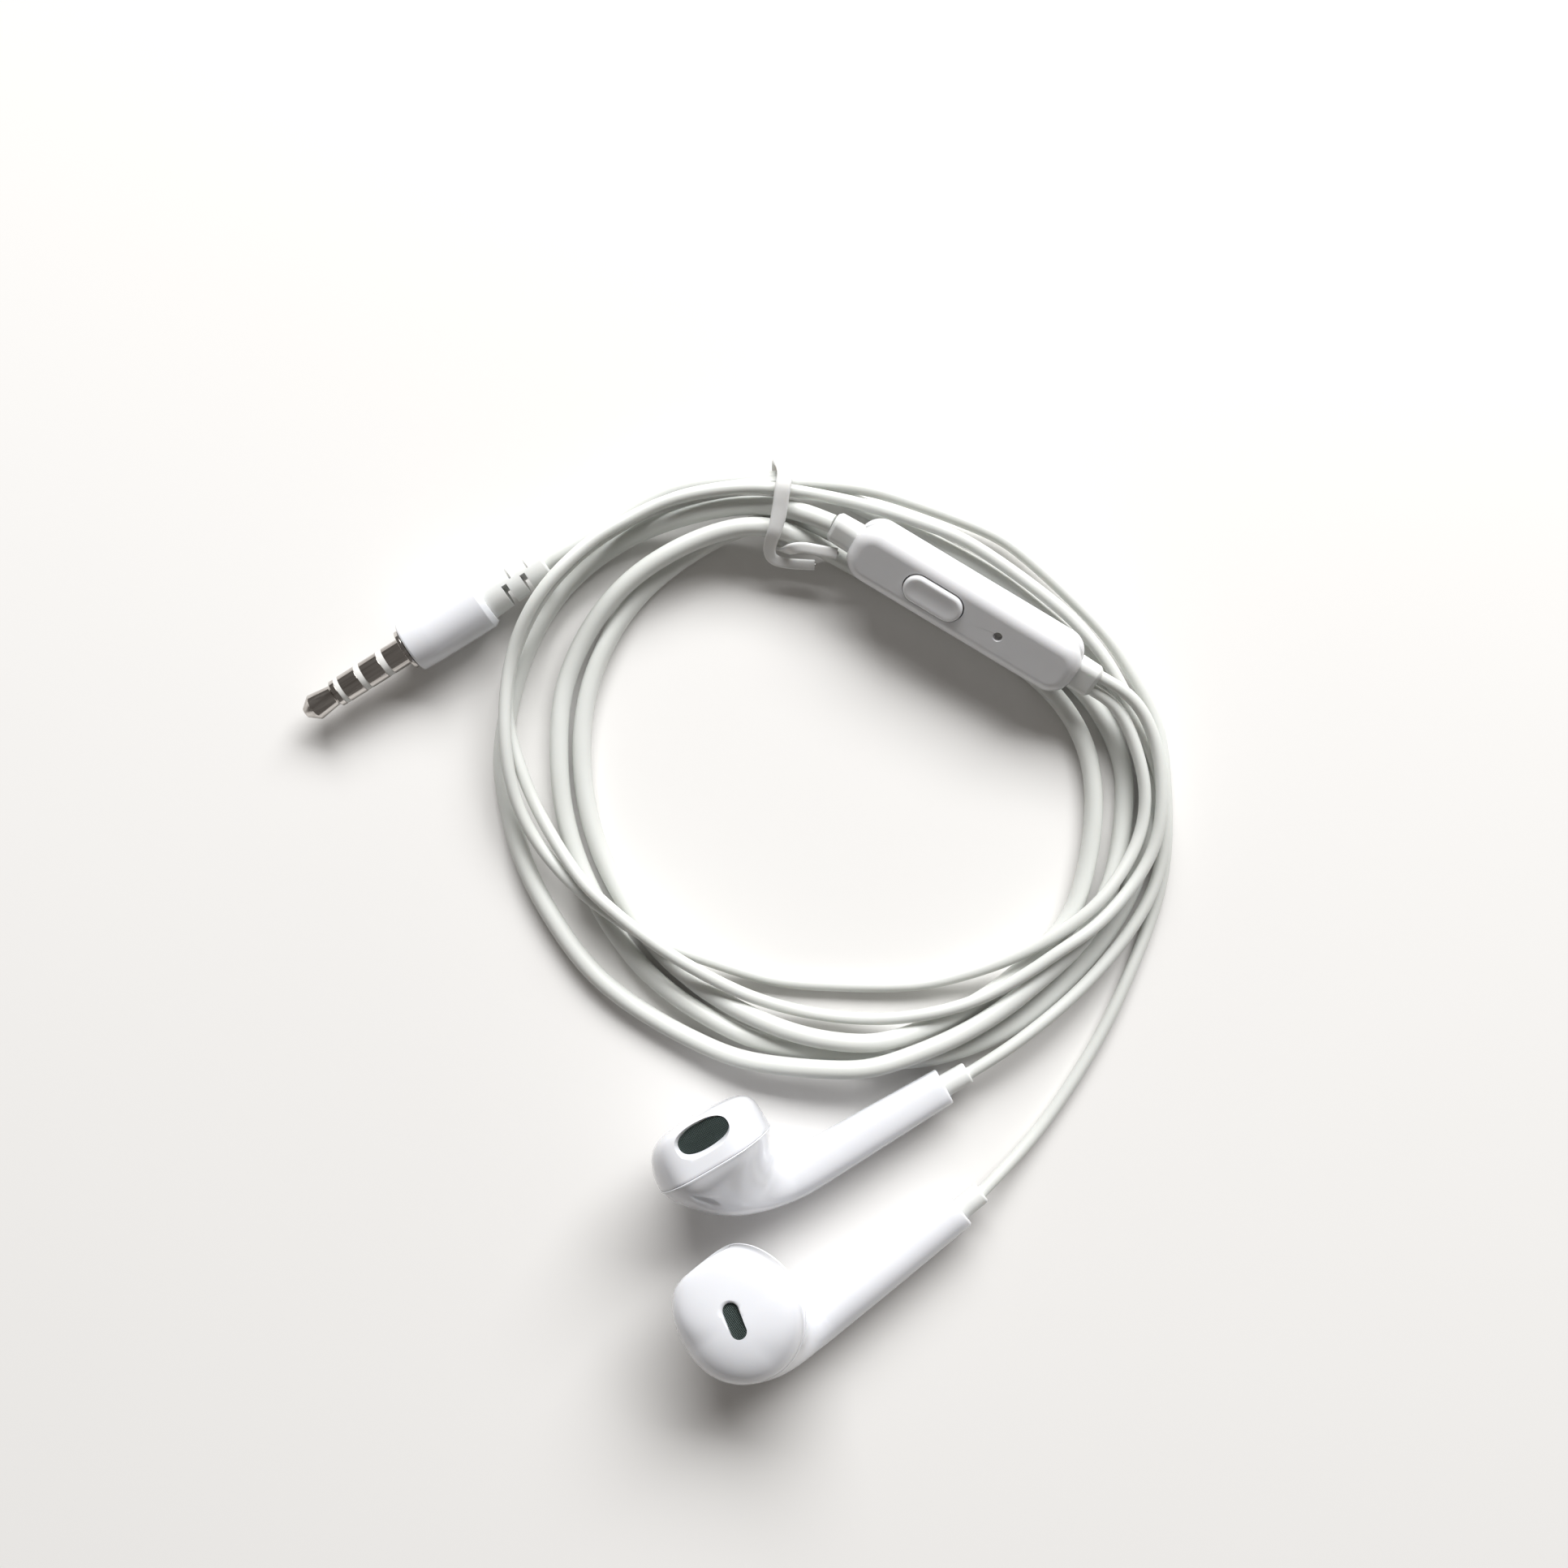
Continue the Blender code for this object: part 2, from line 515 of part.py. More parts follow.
def case_half(name, frame, up, look):
    """Half of the remote's case: a shallow tray with round outer edges, open at the seam."""
    half = REMOTE_HEIGHT / 2
    edge = REMOTE_EDGE
    levels = [(REMOTE_WALL + 1.0, half - REMOTE_WALL), (REMOTE_WALL + 0.3, half - REMOTE_WALL - 0.3),
              (REMOTE_WALL, half - REMOTE_WALL - 1.0), (REMOTE_WALL, GAP / 2), (0.0, GAP / 2)]
    for angle in (0, 25, 50, 70, 90):
        turn = math.radians(angle)
        levels.append((edge * (1 - math.cos(turn)), half - edge + edge * math.sin(turn)))
    rings = []
    for inset, height in levels:
        outline = rounded_outline(REMOTE_LENGTH - 2 * inset, REMOTE_WIDTH - 2 * inset, REMOTE_CORNER - inset)
        rings.append([(x, y, up * height) for x, y in outline])
    return add_piece(name, skin(rings), frame, look)


def cord_relief(name, frame, size, look):
    """The oval relief on an end of the case, where cord goes in."""
    length, width, height = size
    start = REMOTE_LENGTH / 2 + GAP
    end = REMOTE_LENGTH / 2 + length
    rings = []
    for reach, inset in ((start, 0.0), (end - 0.3, 0.1), (end, 0.4)):
        outline = rounded_outline(height - 2 * inset, width - 2 * inset, height / 2 - inset - 0.2, 3)
        rings.append([(x, y, reach) for x, y in outline])
    add_piece(name, skin(rings), along_x(frame, 0.0, 0.0, 0.0), look)


def remote(looks):
    """The inline remote: two case halves, a button over a snap dome, a microphone and their board."""
    slope = math.radians(REMOTE_SLOPE)
    along = (math.cos(slope), math.sin(slope), 0.0)
    frame = frame_from(REMOTE_MIDDLE, along, (-along[1], along[0], 0.0))
    frame = frame @ Matrix.Rotation(math.radians(REMOTE_ROLL), 4, "X")
    top = case_half("remote_case_top", frame, 1, looks["gloss"])
    case_half("remote_case_bottom", frame, -1, looks["gloss"])
    hole = pill(BUTTON_SIZE[0] + 2 * GAP, BUTTON_SIZE[1] + 2 * GAP, 1.6, 4.0, (BUTTON_ALONG, 0.0))
    add_cut(top, "button_cutter", hole, frame, looks["gloss"])
    sound_hole = turned(((1.6, MICROPHONE_HOLE / 2), (4.0, MICROPHONE_HOLE / 2)), 12,
                        middle=(MICROPHONE_ALONG, 0.0))
    add_cut(top, "microphone_cutter", sound_hole, frame, looks["gloss"])
    button(frame @ Matrix.Translation((BUTTON_ALONG, 0.0, 0.0)), looks["gloss"])
    add_piece("remote_board", block(*BOARD_SIZE, *BOARD_HEIGHTS), frame, looks["board"])
    switch = block(*SWITCH_SIZE, *SWITCH_HEIGHTS, (BUTTON_ALONG, 0.0))
    add_piece("remote_switch_body", switch, frame, looks["plastic"])
    low, high = DOME_HEIGHTS
    snap = turned(((low, DOME_RADIUS), (high, DOME_RADIUS * 0.55)), 16)
    add_piece("remote_snap_dome", snap, frame @ Matrix.Translation((BUTTON_ALONG, 0.0, 0.0)), looks["steel"])
    microphone = turned(((MICROPHONE_HEIGHTS[0], MICROPHONE_RADIUS), (MICROPHONE_HEIGHTS[1], MICROPHONE_RADIUS)),
                        16, middle=(MICROPHONE_ALONG, 0.0))
    add_piece("remote_microphone", microphone, frame, looks["steel"])
    cord_relief("remote_split_relief", frame, SPLIT_RELIEF, looks["soft"])
    facing = frame @ Matrix.Rotation(math.radians(180), 4, "Z")
    cord_relief("remote_cord_relief", facing, CORD_RELIEF, looks["soft"])


def button(frame, look):
    """The key: a pill that stands proud of the case, with a flange that keeps it in."""
    low, shoulder, high = BUTTON_HEIGHTS
    rings = []
    for (length, width), height, inset in ((BUTTON_FLANGE, low, 0.0), (BUTTON_FLANGE, shoulder, 0.0),
                                           (BUTTON_SIZE, shoulder, 0.0), (BUTTON_SIZE, high - 0.15, 0.0),
                                           (BUTTON_SIZE, high, 0.2)):
        outline = rounded_outline(length - 2 * inset, width - 2 * inset, width / 2 - inset - 0.01)
        rings.append([(x, y, height) for x, y in outline])
    add_piece("remote_button", skin(rings), frame, look)


def plug_contacts(frame, looks):
    """The four contacts of the pin and the moulding between them."""
    spans = INSULATOR_SPANS
    part = 0.12
    bore = 1.25
    tip = ((0.0, 0.0), (0.12, 0.7), (0.55, 1.3), (1.2, 1.6), (4.25, 1.35), (4.55, PIN_RADIUS - 0.05),
           (spans[0][0] - part, PIN_RADIUS - 0.05), (spans[0][0] - part, 0.35), (16.0, 0.35), (16.0, 0.0))
    add_piece("plug_tip", turned(tip, 20), frame, looks["contact"])
    for number, (start, end) in enumerate(((spans[0][1], spans[1][0]), (spans[1][1], spans[2][0])), 1):
        ring = ((start + part, bore), (start + part, PIN_RADIUS), (end - part, PIN_RADIUS), (end - part, bore))
        add_piece("plug_ring_%d" % number, turned(ring, 20, True), frame, looks["contact"])
    core = [(spans[0][0] + part, CORE_RADII[0])]
    for start, end in spans:
        core += [(start + part, CORE_RADII[1]), (start + part, PIN_RADIUS - 0.03),
                 (end - part, PIN_RADIUS - 0.03), (end - part, CORE_RADII[1])]
    core += [(15.8, CORE_RADII[1]), (15.8, CORE_RADII[0])]
    add_piece("plug_insulator", turned(core, 20, True), frame, looks["plastic_white"])
    start, end = FLANGE_SPAN
    groove = PIN_RADIUS + 0.2
    sleeve = ((spans[2][1] + part, bore), (spans[2][1] + part, PIN_RADIUS), (start + 0.15, PIN_RADIUS),
              (start + 0.15, groove), (start, groove), (start, FLANGE_RADIUS), (end, FLANGE_RADIUS),
              (end, 1.6), (19.0, 1.6), (19.0, bore))
    add_piece("plug_sleeve", turned(sleeve, 24, True), frame, looks["contact"])


def plug_housing(frame, look):
    """The grip: a straight barrel with soft edges round the contact's shank."""
    start, end = HOUSING_SPAN
    radius = HOUSING_RADIUS
    barrel = ((start, 1.9), (start, radius - 0.5), (start + 0.15, radius - 0.15), (start + 0.5, radius),
              (end - 0.5, radius), (end, radius - 0.45), (end, 2.3), (start + 1.5, 2.3), (start + 1.5, 1.9))
    add_piece("plug_housing", turned(barrel, 24, True), frame, look)


def plug_relief(frame, look):
    """The bend relief: a tapered boot with slots cut from alternate sides."""
    start, end = PLUG_RELIEF_SPAN
    relief = turned(((start, PLUG_RELIEF_RADII[0]), (end, PLUG_RELIEF_RADII[1])), 16)
    boot = add_piece("plug_relief", relief, frame, look)
    for side, places in ((-1, SLOTS_BELOW), (1, SLOTS_ABOVE)):
        for number, place in enumerate(places, 1):
            slot = block(6.0, 4.0, place - SLOT_WIDTH / 2, place + SLOT_WIDTH / 2, (0.0, side * 2.45))
            name = "relief_slot_%s_%d" % ("above" if side > 0 else "below", number)
            add_cut(boot, name, slot, frame, look)


def plug(looks):
    slope = math.radians(PLUG_SLOPE)
    frame = frame_from(PLUG_NOSE, (0.0, 0.0, -1.0), (-math.sin(slope), math.cos(slope), 0.0))
    plug_contacts(frame, looks)
    plug_housing(frame, looks["gloss"])
    plug_relief(frame, looks["soft"])


def main():
    clear_scene()
    looks = {
        "gloss": make_material("gloss_white", (0.80, 0.81, 0.84), 0.22),
        "soft": make_material("soft_white", (0.74, 0.76, 0.76), 0.45),
        "cord": make_material("cord_white", (0.70, 0.73, 0.71), 0.42),
        "mesh": make_material("dark_mesh", (0.02, 0.03, 0.03), 0.6),
        "contact": make_material("contact_metal", (0.72, 0.72, 0.70), 0.25, 1.0),
        "steel": make_material("steel", (0.55, 0.55, 0.56), 0.35, 1.0),
        "magnet": make_material("magnet", (0.12, 0.12, 0.13), 0.4, 1.0),
        "plastic": make_material("black_plastic", (0.05, 0.05, 0.05), 0.5),
        "plastic_white": make_material("insulator_white", (0.78, 0.78, 0.76), 0.4),
        "film": make_material("clear_film", (0.45, 0.42, 0.38), 0.35),
        "board": make_material("green_board", (0.05, 0.22, 0.10), 0.5),
    }
    for side, lie in EARPHONES.items():
        earphone(side, lie, looks)
    remote(looks)
    plug(looks)
    add_tube("main_cord", MAIN_ROUTE, MAIN_DIAMETER, MAIN_POINTS, looks["cord"])
    add_tube("right_cord", RIGHT_ROUTE, BRANCH_DIAMETER, BRANCH_POINTS, looks["cord"])
    add_tube("left_cord", LEFT_ROUTE, BRANCH_DIAMETER, BRANCH_POINTS, looks["cord"])
    add_tube("twist_tie", TIE_ROUTE, TIE_DIAMETER, TIE_POINTS, looks["plastic_white"])


main()
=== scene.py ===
"""Visual model of white wired earphones lying as a loosely tied coil: three cords, the plug, the inline
remote, the two earphones and the wire tie, with their finishes, the camera and the studio.

Lengths are in millimetres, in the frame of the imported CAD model, except where a comment says metres.
"""

import math

import bmesh
import bpy
from mathutils import Matrix, Vector


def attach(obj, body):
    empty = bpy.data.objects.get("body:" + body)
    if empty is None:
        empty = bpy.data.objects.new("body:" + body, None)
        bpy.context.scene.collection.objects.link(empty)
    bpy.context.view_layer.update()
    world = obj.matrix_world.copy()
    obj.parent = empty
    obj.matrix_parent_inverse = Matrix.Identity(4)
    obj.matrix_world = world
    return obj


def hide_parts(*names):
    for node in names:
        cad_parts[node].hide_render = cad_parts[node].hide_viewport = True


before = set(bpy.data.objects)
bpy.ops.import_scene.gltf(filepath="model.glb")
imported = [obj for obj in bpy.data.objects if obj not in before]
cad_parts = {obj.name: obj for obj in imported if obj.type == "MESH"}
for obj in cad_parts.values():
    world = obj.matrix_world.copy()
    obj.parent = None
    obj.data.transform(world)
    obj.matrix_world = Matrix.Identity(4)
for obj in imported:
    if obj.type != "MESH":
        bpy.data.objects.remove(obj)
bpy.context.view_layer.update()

MM = 0.001

# Camera, straight above the coil
CAMERA_PLACE = (-11.4, 19.7, 198.0)
LENS = 36.0

# Cords: the curve's steps between two route points, its easing before and after its points are evened
# out, and how far it runs on into a boot
MAIN_DIAMETER = 2.35
BRANCH_DIAMETER = 1.55
MAIN_POINTS = 700
BRANCH_POINTS = 420
CURVE_STEPS = 12
EASING = 20
LAST_EASING = 6
BOOT_REACH = 0.6

# The thick cord, clockwise round the coil from the plug to the remote, a little over three turns
MAIN_ROUTE = (
    (-40.8, 47.4, 3.6), (-34.4, 51.3, 2.6), (-30.8, 54.0, 1.7), (-26.8, 56.1, 1.3), (-22.2, 57.3, 1.6),
    (-12.0, 57.7, 2.5), (-6.9, 56.7, 2.1), (-1.8, 54.6, 1.4), (13.4, 46.6, 1.3), (18.5, 43.0, 1.3),
    (27.9, 35.0, 1.3), (31.5, 30.4, 1.3), (33.5, 25.3, 1.3), (34.3, 20.0, 1.3), (33.5, 9.5, 1.3),
    (28.2, -0.4, 1.3), (19.5, -9.1, 1.3), (13.9, -12.4, 1.3), (7.8, -14.4, 1.3), (1.2, -15.0, 1.3),
    (-12.0, -13.2, 1.3), (-18.6, -10.9, 1.3), (-28.5, -4.3, 1.3), (-35.5, 5.9, 1.4), (-39.2, 16.8, 1.7),
    (-39.5, 28.4, 1.7), (-38.2, 34.0, 1.8), (-35.5, 39.4, 2.4), (-31.4, 44.3, 3.4), (-26.5, 47.8, 4.1),
    (-21.0, 50.4, 4.4), (-15.5, 51.6, 5.0), (-11.5, 51.0, 5.0), (-7.5, 49.4, 3.4), (-3.4, 47.5, 1.3),
    (1.7, 44.6, 1.3), (18.5, 34.8, 1.3), (26.1, 25.9, 1.3), (27.6, 15.7, 1.3), (25.4, 4.9, 1.4),
    (22.5, 0.5, 1.6), (13.9, -7.2, 1.6), (2.7, -12.2, 2.4), (-2.9, -12.5, 3.4), (-9.0, -11.6, 3.4),
    (-15.0, -9.5, 2.6), (-20.4, -6.7, 1.6), (-24.8, -3.3, 1.3), (-28.7, 0.8, 1.3), (-34.6, 11.0, 1.3),
    (-36.9, 22.3, 1.3), (-35.5, 33.5, 1.3), (-29.4, 43.9, 1.3), (-19.1, 51.0, 1.6), (-13.5, 52.2, 3.1),
    (-8.0, 52.2, 2.3), (-2.9, 50.6, 1.3), (8.3, 45.6, 1.3), (13.9, 42.3, 1.3), (24.2, 33.5, 1.3),
    (28.1, 29.0, 1.3), (30.5, 24.2, 1.3), (31.5, 19.3, 1.3), (30.4, 10.2, 1.7), (28.8, 5.9, 2.9),
    (26.5, 1.6, 3.5), (22.9, -2.3, 3.6), (13.1, -10.2, 3.6), (2.0, -14.8, 4.1), (-3.5, -15.8, 4.0),
    (-15.5, -15.0, 2.7), (-21.6, -12.9, 1.6), (-27.3, -10.0, 1.3), (-32.9, -6.2, 1.3), (-37.6, -1.4, 1.3),
    (-43.9, 9.1, 1.3), (-46.5, 19.8, 1.3), (-46.6, 25.4, 1.3), (-44.1, 35.8, 1.3), (-38.5, 45.1, 1.3),
    (-29.3, 51.4, 1.9), (-18.5, 54.1, 3.8), (-13.0, 54.0, 4.6), (-9.2, 53.1, 5.7), (-5.9, 51.65, 6.4),
)

# The thin cords, clockwise from the remote to the earphones, about one and a quarter turns each
RIGHT_ROUTE = (
    (26.5, 31.2, 5.8), (30.1, 28.5, 5.6), (33.2, 19.8, 4.6), (32.5, 12.8, 4.2), (28.6, 6.6, 5.2),
    (25.3, 3.3, 5.1), (21.1, 0.3, 4.3), (16.2, -2.3, 3.0), (10.3, -4.4, 1.8), (3.8, -5.7, 1.1),
    (-9.5, -5.4, 0.9), (-15.6, -4.2, 1.2), (-25.1, -0.7, 3.2), (-29.6, 1.4, 3.7), (-37.6, 7.1, 3.7),
    (-43.7, 15.2, 4.0), (-45.7, 24.3, 5.4), (-45.1, 34.7, 5.7), (-41.0, 43.0, 8.3), (-34.7, 49.5, 7.1),
    (-30.9, 51.9, 5.9), (-26.4, 54.3, 5.5), (-21.4, 55.5, 5.7), (-16.5, 55.9, 6.4), (-11.5, 55.7, 6.8),
    (-2.5, 54.4, 4.6), (2.6, 53.1, 3.7), (7.6, 51.4, 3.5), (12.6, 49.1, 3.5), (22.4, 42.0, 3.5),
    (26.8, 37.4, 3.6), (30.2, 32.4, 3.6), (34.5, 22.8, 3.5), (35.7, 18.3, 3.1), (35.7, 9.7, 2.7),
    (32.3, 2.1, 2.6), (25.4, -6.0, 2.9), (17.6, -12.4, 3.1), (11.9, -16.1, 2.95),
)

LEFT_ROUTE = (
    (27.4, 32.6, 7.0), (31.6, 29.9, 6.6), (34.5, 24.1, 5.5), (35.1, 16.3, 5.2), (33.3, 9.6, 4.7),
    (27.5, 2.7, 5.6), (23.0, -0.4, 5.6), (18.5, -3.7, 4.9), (13.1, -6.8, 4.1), (7.1, -8.7, 3.8),
    (0.7, -9.7, 2.2), (-6.4, -9.3, 1.5), (-13.0, -7.7, 2.3), (-18.5, -5.4, 3.5), (-26.5, -0.6, 5.4),
    (-33.4, 5.0, 5.6), (-37.0, 8.6, 4.9), (-42.2, 16.8, 3.5), (-45.1, 24.8, 3.6), (-45.8, 29.4, 3.6),
    (-45.2, 34.6, 3.8), (-43.3, 39.1, 4.8), (-40.9, 42.9, 6.2), (-38.0, 46.3, 6.1), (-34.7, 49.5, 4.9),
    (-30.8, 52.1, 3.9), (-26.3, 54.7, 3.6), (-21.5, 56.0, 3.8), (-12.0, 56.9, 4.9), (-2.9, 56.5, 3.6),
    (2.7, 55.4, 2.3), (12.9, 51.8, 1.6), (18.3, 48.7, 1.6), (28.2, 39.3, 1.6), (31.8, 34.1, 1.5),
    (34.6, 29.3, 1.1), (36.2, 24.1, 0.9), (36.6, 9.1, 0.9), (32.2, -3.7, 0.9), (27.6, -13.3, 0.9),
    (20.7, -23.7, 1.0), (13.45, -30.8, 2.95),
)

# The wire tie: one tail, the loop round the strands at the top of the coil, the other tail
TIE_ROUTE = (
    (-4.9, 48.0, 5.6), (-7.3, 48.4, 5.8), (-9.1, 48.7, 5.8), (-10.4, 48.6, 5.4), (-11.1, 48.5, 4.3),
    (-11.5, 48.8, 3.0), (-11.9, 49.5, 1.6), (-12.0, 51.0, 0.8), (-12.0, 52.5, 0.5), (-12.0, 54.9, 0.5),
    (-12.0, 57.0, 0.5), (-12.0, 58.7, 0.75), (-12.0, 59.7, 1.8), (-11.9, 59.85, 3.2), (-11.7, 59.2, 4.8),
    (-11.4, 58.3, 6.6), (-11.3, 57.1, 8.1), (-11.5, 55.8, 8.55), (-11.7, 54.6, 8.3), (-11.9, 53.2, 7.8),
    (-12.2, 51.7, 7.3), (-12.6, 50.4, 6.8), (-13.0, 49.4, 5.9), (-13.2, 48.5, 4.9), (-12.8, 47.6, 4.0),
    (-11.1, 47.1, 3.4), (-7.6, 46.9, 3.3),
)

TIE_MIDDLE = (-12.0, 54.2, 4.0)
TIE_SLANT = 0.15
TIE_SIZE = (1.9, 0.75)
TIE_SQUARENESS = 0.8
TIE_DISH = 0.28
TIE_STEPS = 8
TIE_EASING = 4
TIE_POINTS = 240
TIE_SEGMENTS = 24
TIE_WIRE = 0.26
TIE_WIRE_SPAN = (-0.6, 0.18)

# How many points a tail takes to leave the loop, how soon its turn is complete, how much narrower it
# gets and which way its face turns
TIE_TAIL = 62
TAIL_HASTE = 1.6
TAIL_TAPER = 0.3
TAIL_FACING = (0.0, -0.35, 1.0)

# Earphone head, in its own axes: s runs from the head to the stem's end, p out of the sound port's
# facet and f out of the domed front. The dome's ovals get squarer towards the port and the stem, by
# their powers, and less so near the top
HEAD_RADIUS = 7.65
HEAD_MIDDLE = 0.6
FACET_REACH = 8.15
FACET_FULLNESS = 1.4
FACET_TURN = 2.0
FACET_SOFTNESS = 0.5
DOME_POWER = 2.3
PORT_POWER = 3.3
STEM_POWER = 2.2
POWER_FADE = 12
DOME_HEIGHT = 5.6
DOME_LEAN = 0.125
DOME_LIFTS = (*range(0, 81, 3), 80.5, 83, 85, 87, 88.5)
INNER_LIFTS = (88, 80, 70, 60, 50, 40, 30, 20, 10, 0)
WALL = 0.85
SEAM = 0.04
SEAM_EDGE = 0.03
SEAM_STEP = 0.06
RIM_ROUND = 0.11
RIM_FLAT = 2.0
PORT_SIZE = (7.3, 3.9)
PORT_ROUNDNESS = 2.45
PORT_MIDDLE = (1.75, 3.75)
PORT_SINK = 0.1
PORT_DEPTH = 0.95
PORT_SLOPE = 0.45
SECTION_STEPS = 10
MATCHED_ROWS = 24
VENT_SIZE = (1.95, 4.35)
VENT_MIDDLE = (0.6, 0.2)
VENT_TURN = -14.5
VENT_DEPTH = 0.45
STEM_AXIS = (-6.2, -7.4)
SLEEVE_SPAN = (28.6, 32.2)
SLEEVE_RADIUS = 1.42
STEM_ROUND = 0.3
STEM_MOUTH = ((1.75, 0.3), (1.6, 0.0), (1.55, -2.0))
HEAD_SEGMENTS = 144

# Rear shell and stem: each section is an oval across the line from its back edge to its front edge
# (s, f), reaching from one p to the other; the last value is how much of the facet's fullness it has
REAR_SECTIONS = (
    ((-7.05, 0.0), (8.25, 0.0), (-7.65, 8.0), 1.0),
    ((-6.3, -2.0), (7.6, -1.2), (-8.0, 7.2), 0.6),
    ((-4.95, -4.0), (6.95, -2.3), (-8.3, 5.8), 0.2),
    ((-3.2, -6.1), (6.6, -3.15), (-8.5, 4.0), 0.0),
    ((-0.8, -8.0), (6.5, -3.75), (-8.6, 1.8), 0.0),
    ((2.2, -9.4), (6.7, -4.15), (-8.65, -0.5), 0.0),
    ((5.6, -10.25), (7.5, -4.5), (-8.7, -2.0), 0.0),
    ((9.0, -10.45), (9.4, -4.65), (-8.7, -2.5), 0.0),
    ((18.0, -10.15), (18.0, -4.85), (-8.65, -3.3), 0.0),
    ((28.5, -9.75), (28.6, -5.05), (-8.5, -3.9), 0.0),
)

# Where each earphone lies: the head's middle on the seam, the stem's and the port's directions, and
# which hand it is
EARPHONES = {
    "right": {"middle": (-20.25, -25.55, 8.75), "stem": (0.866, 0.5, 0.0), "port": (-0.026, 0.045, 1.0),
              "hand": -1},
    "left": {"middle": (-16.8, -44.75, 9.7), "stem": (0.783, 0.622, -0.03), "port": (-0.6, 0.755, -0.25),
             "hand": 1},
}

# Inline remote, in its own axes: x along it, y across and z out of the button's face
REMOTE_MIDDLE = (10.8, 41.6, 6.4)
REMOTE_SLOPE = -31.0
REMOTE_ROLL = 36.0
REMOTE_LENGTH = 31.5
REMOTE_WIDTH = 7.4
REMOTE_HEIGHT = 6.0
REMOTE_CORNER = 3.0
REMOTE_EDGE = 1.7
BUTTON_ALONG = -3.9
BUTTON_SIZE = (7.9, 3.6)
BUTTON_TOP = 3.55
BUTTON_ROUND = 0.45
BUTTON_GAP = 0.15
MICROPHONE_ALONG = 5.2
MICROPHONE_HOLE = 1.1

# The boots at the remote's ends: length, width, height, turn, and the node each stands for
REMOTE_BOOTS = {"split_boot": (2.8, 4.4, 2.8, 0, "remote_split_relief"),
                "cord_boot": (3.2, 3.9, 3.2, 180, "remote_cord_relief")}

# Plug, along its axis from the rounded nose; the relief's slots are cut from both sides, from near the
# axis outwards
PLUG_NOSE = (-70.7, 28.5, 3.55)
PLUG_SLOPE = 32.2
PIN_RADIUS = 1.75
INSULATOR_SPANS = ((5.1, 5.7), (8.05, 8.8), (11.3, 12.1))
FLANGE_SPAN = (14.6, 15.1)
FLANGE_RADIUS = 2.6
HOUSING_SPAN = (15.25, 26.4)
HOUSING_RADIUS = 3.45
PLUG_RELIEF_SPAN = (26.45, 35.1)
PLUG_RELIEF_RADII = (2.65, 2.1)
SLOT_SIZE = (6.4, 0.72)
SLOT_SPAN = (0.15, 3.15)
SLOTS_BELOW = (29.4, 32.0)
SLOTS_ABOVE = (30.7, 33.2)

# Studio, in metres and watts
KEY_PLACE = (0.24, 1.15, 0.89)
KEY_AIM = (-0.01, 0.0, 0.0)
KEY_SIZE = (1.6, 0.65)
KEY_POWER = 41.0
FILL = 0.15
FILL_COLOUR = (1.0, 0.94, 0.885, 1.0)
FLOOR_REACH = 3

# The part of a noise's 0 to 1 that it mostly stays in, and a wave texture's angle over one unit
NOISE_RANGE = (0.3, 0.7)
WAVE_ANGLE = 20


# Finishes: scales are per metre, distances in metres

def node(tree, kind, **values):
    """A shader node with some of its inputs or properties set."""
    made = tree.nodes.new(kind)
    for key, value in values.items():
        if key in made.inputs:
            made.inputs[key].default_value = value
        else:
            setattr(made, key, value)
    return made


def noise(tree, place, scale, detail=3.0, rough=0.55):
    """A noise over a place, as a value from 0 to 1."""
    made = node(tree, "ShaderNodeTexNoise", Scale=scale, Detail=detail, Roughness=rough)
    tree.links.new(place, made.inputs["Vector"])
    return made.outputs["Fac"]


def spread(tree, value, low, high):
    """A 0 to 1 value taken to a range."""
    made = node(tree, "ShaderNodeMapRange")
    made.inputs["From Min"].default_value = NOISE_RANGE[0]
    made.inputs["From Max"].default_value = NOISE_RANGE[1]
    made.inputs["To Min"].default_value = low
    made.inputs["To Max"].default_value = high
    tree.links.new(value, made.inputs["Value"])
    return made.outputs["Result"]


def shades(tree, value, dark, light):
    """A 0 to 1 value taken to a colour between two."""
    ramp = node(tree, "ShaderNodeValToRGB")
    for stop, position, colour in zip(ramp.color_ramp.elements, NOISE_RANGE, (dark, light)):
        stop.position = position
        stop.color = (*colour, 1.0)
    tree.links.new(value, ramp.inputs["Fac"])
    return ramp.outputs["Color"]


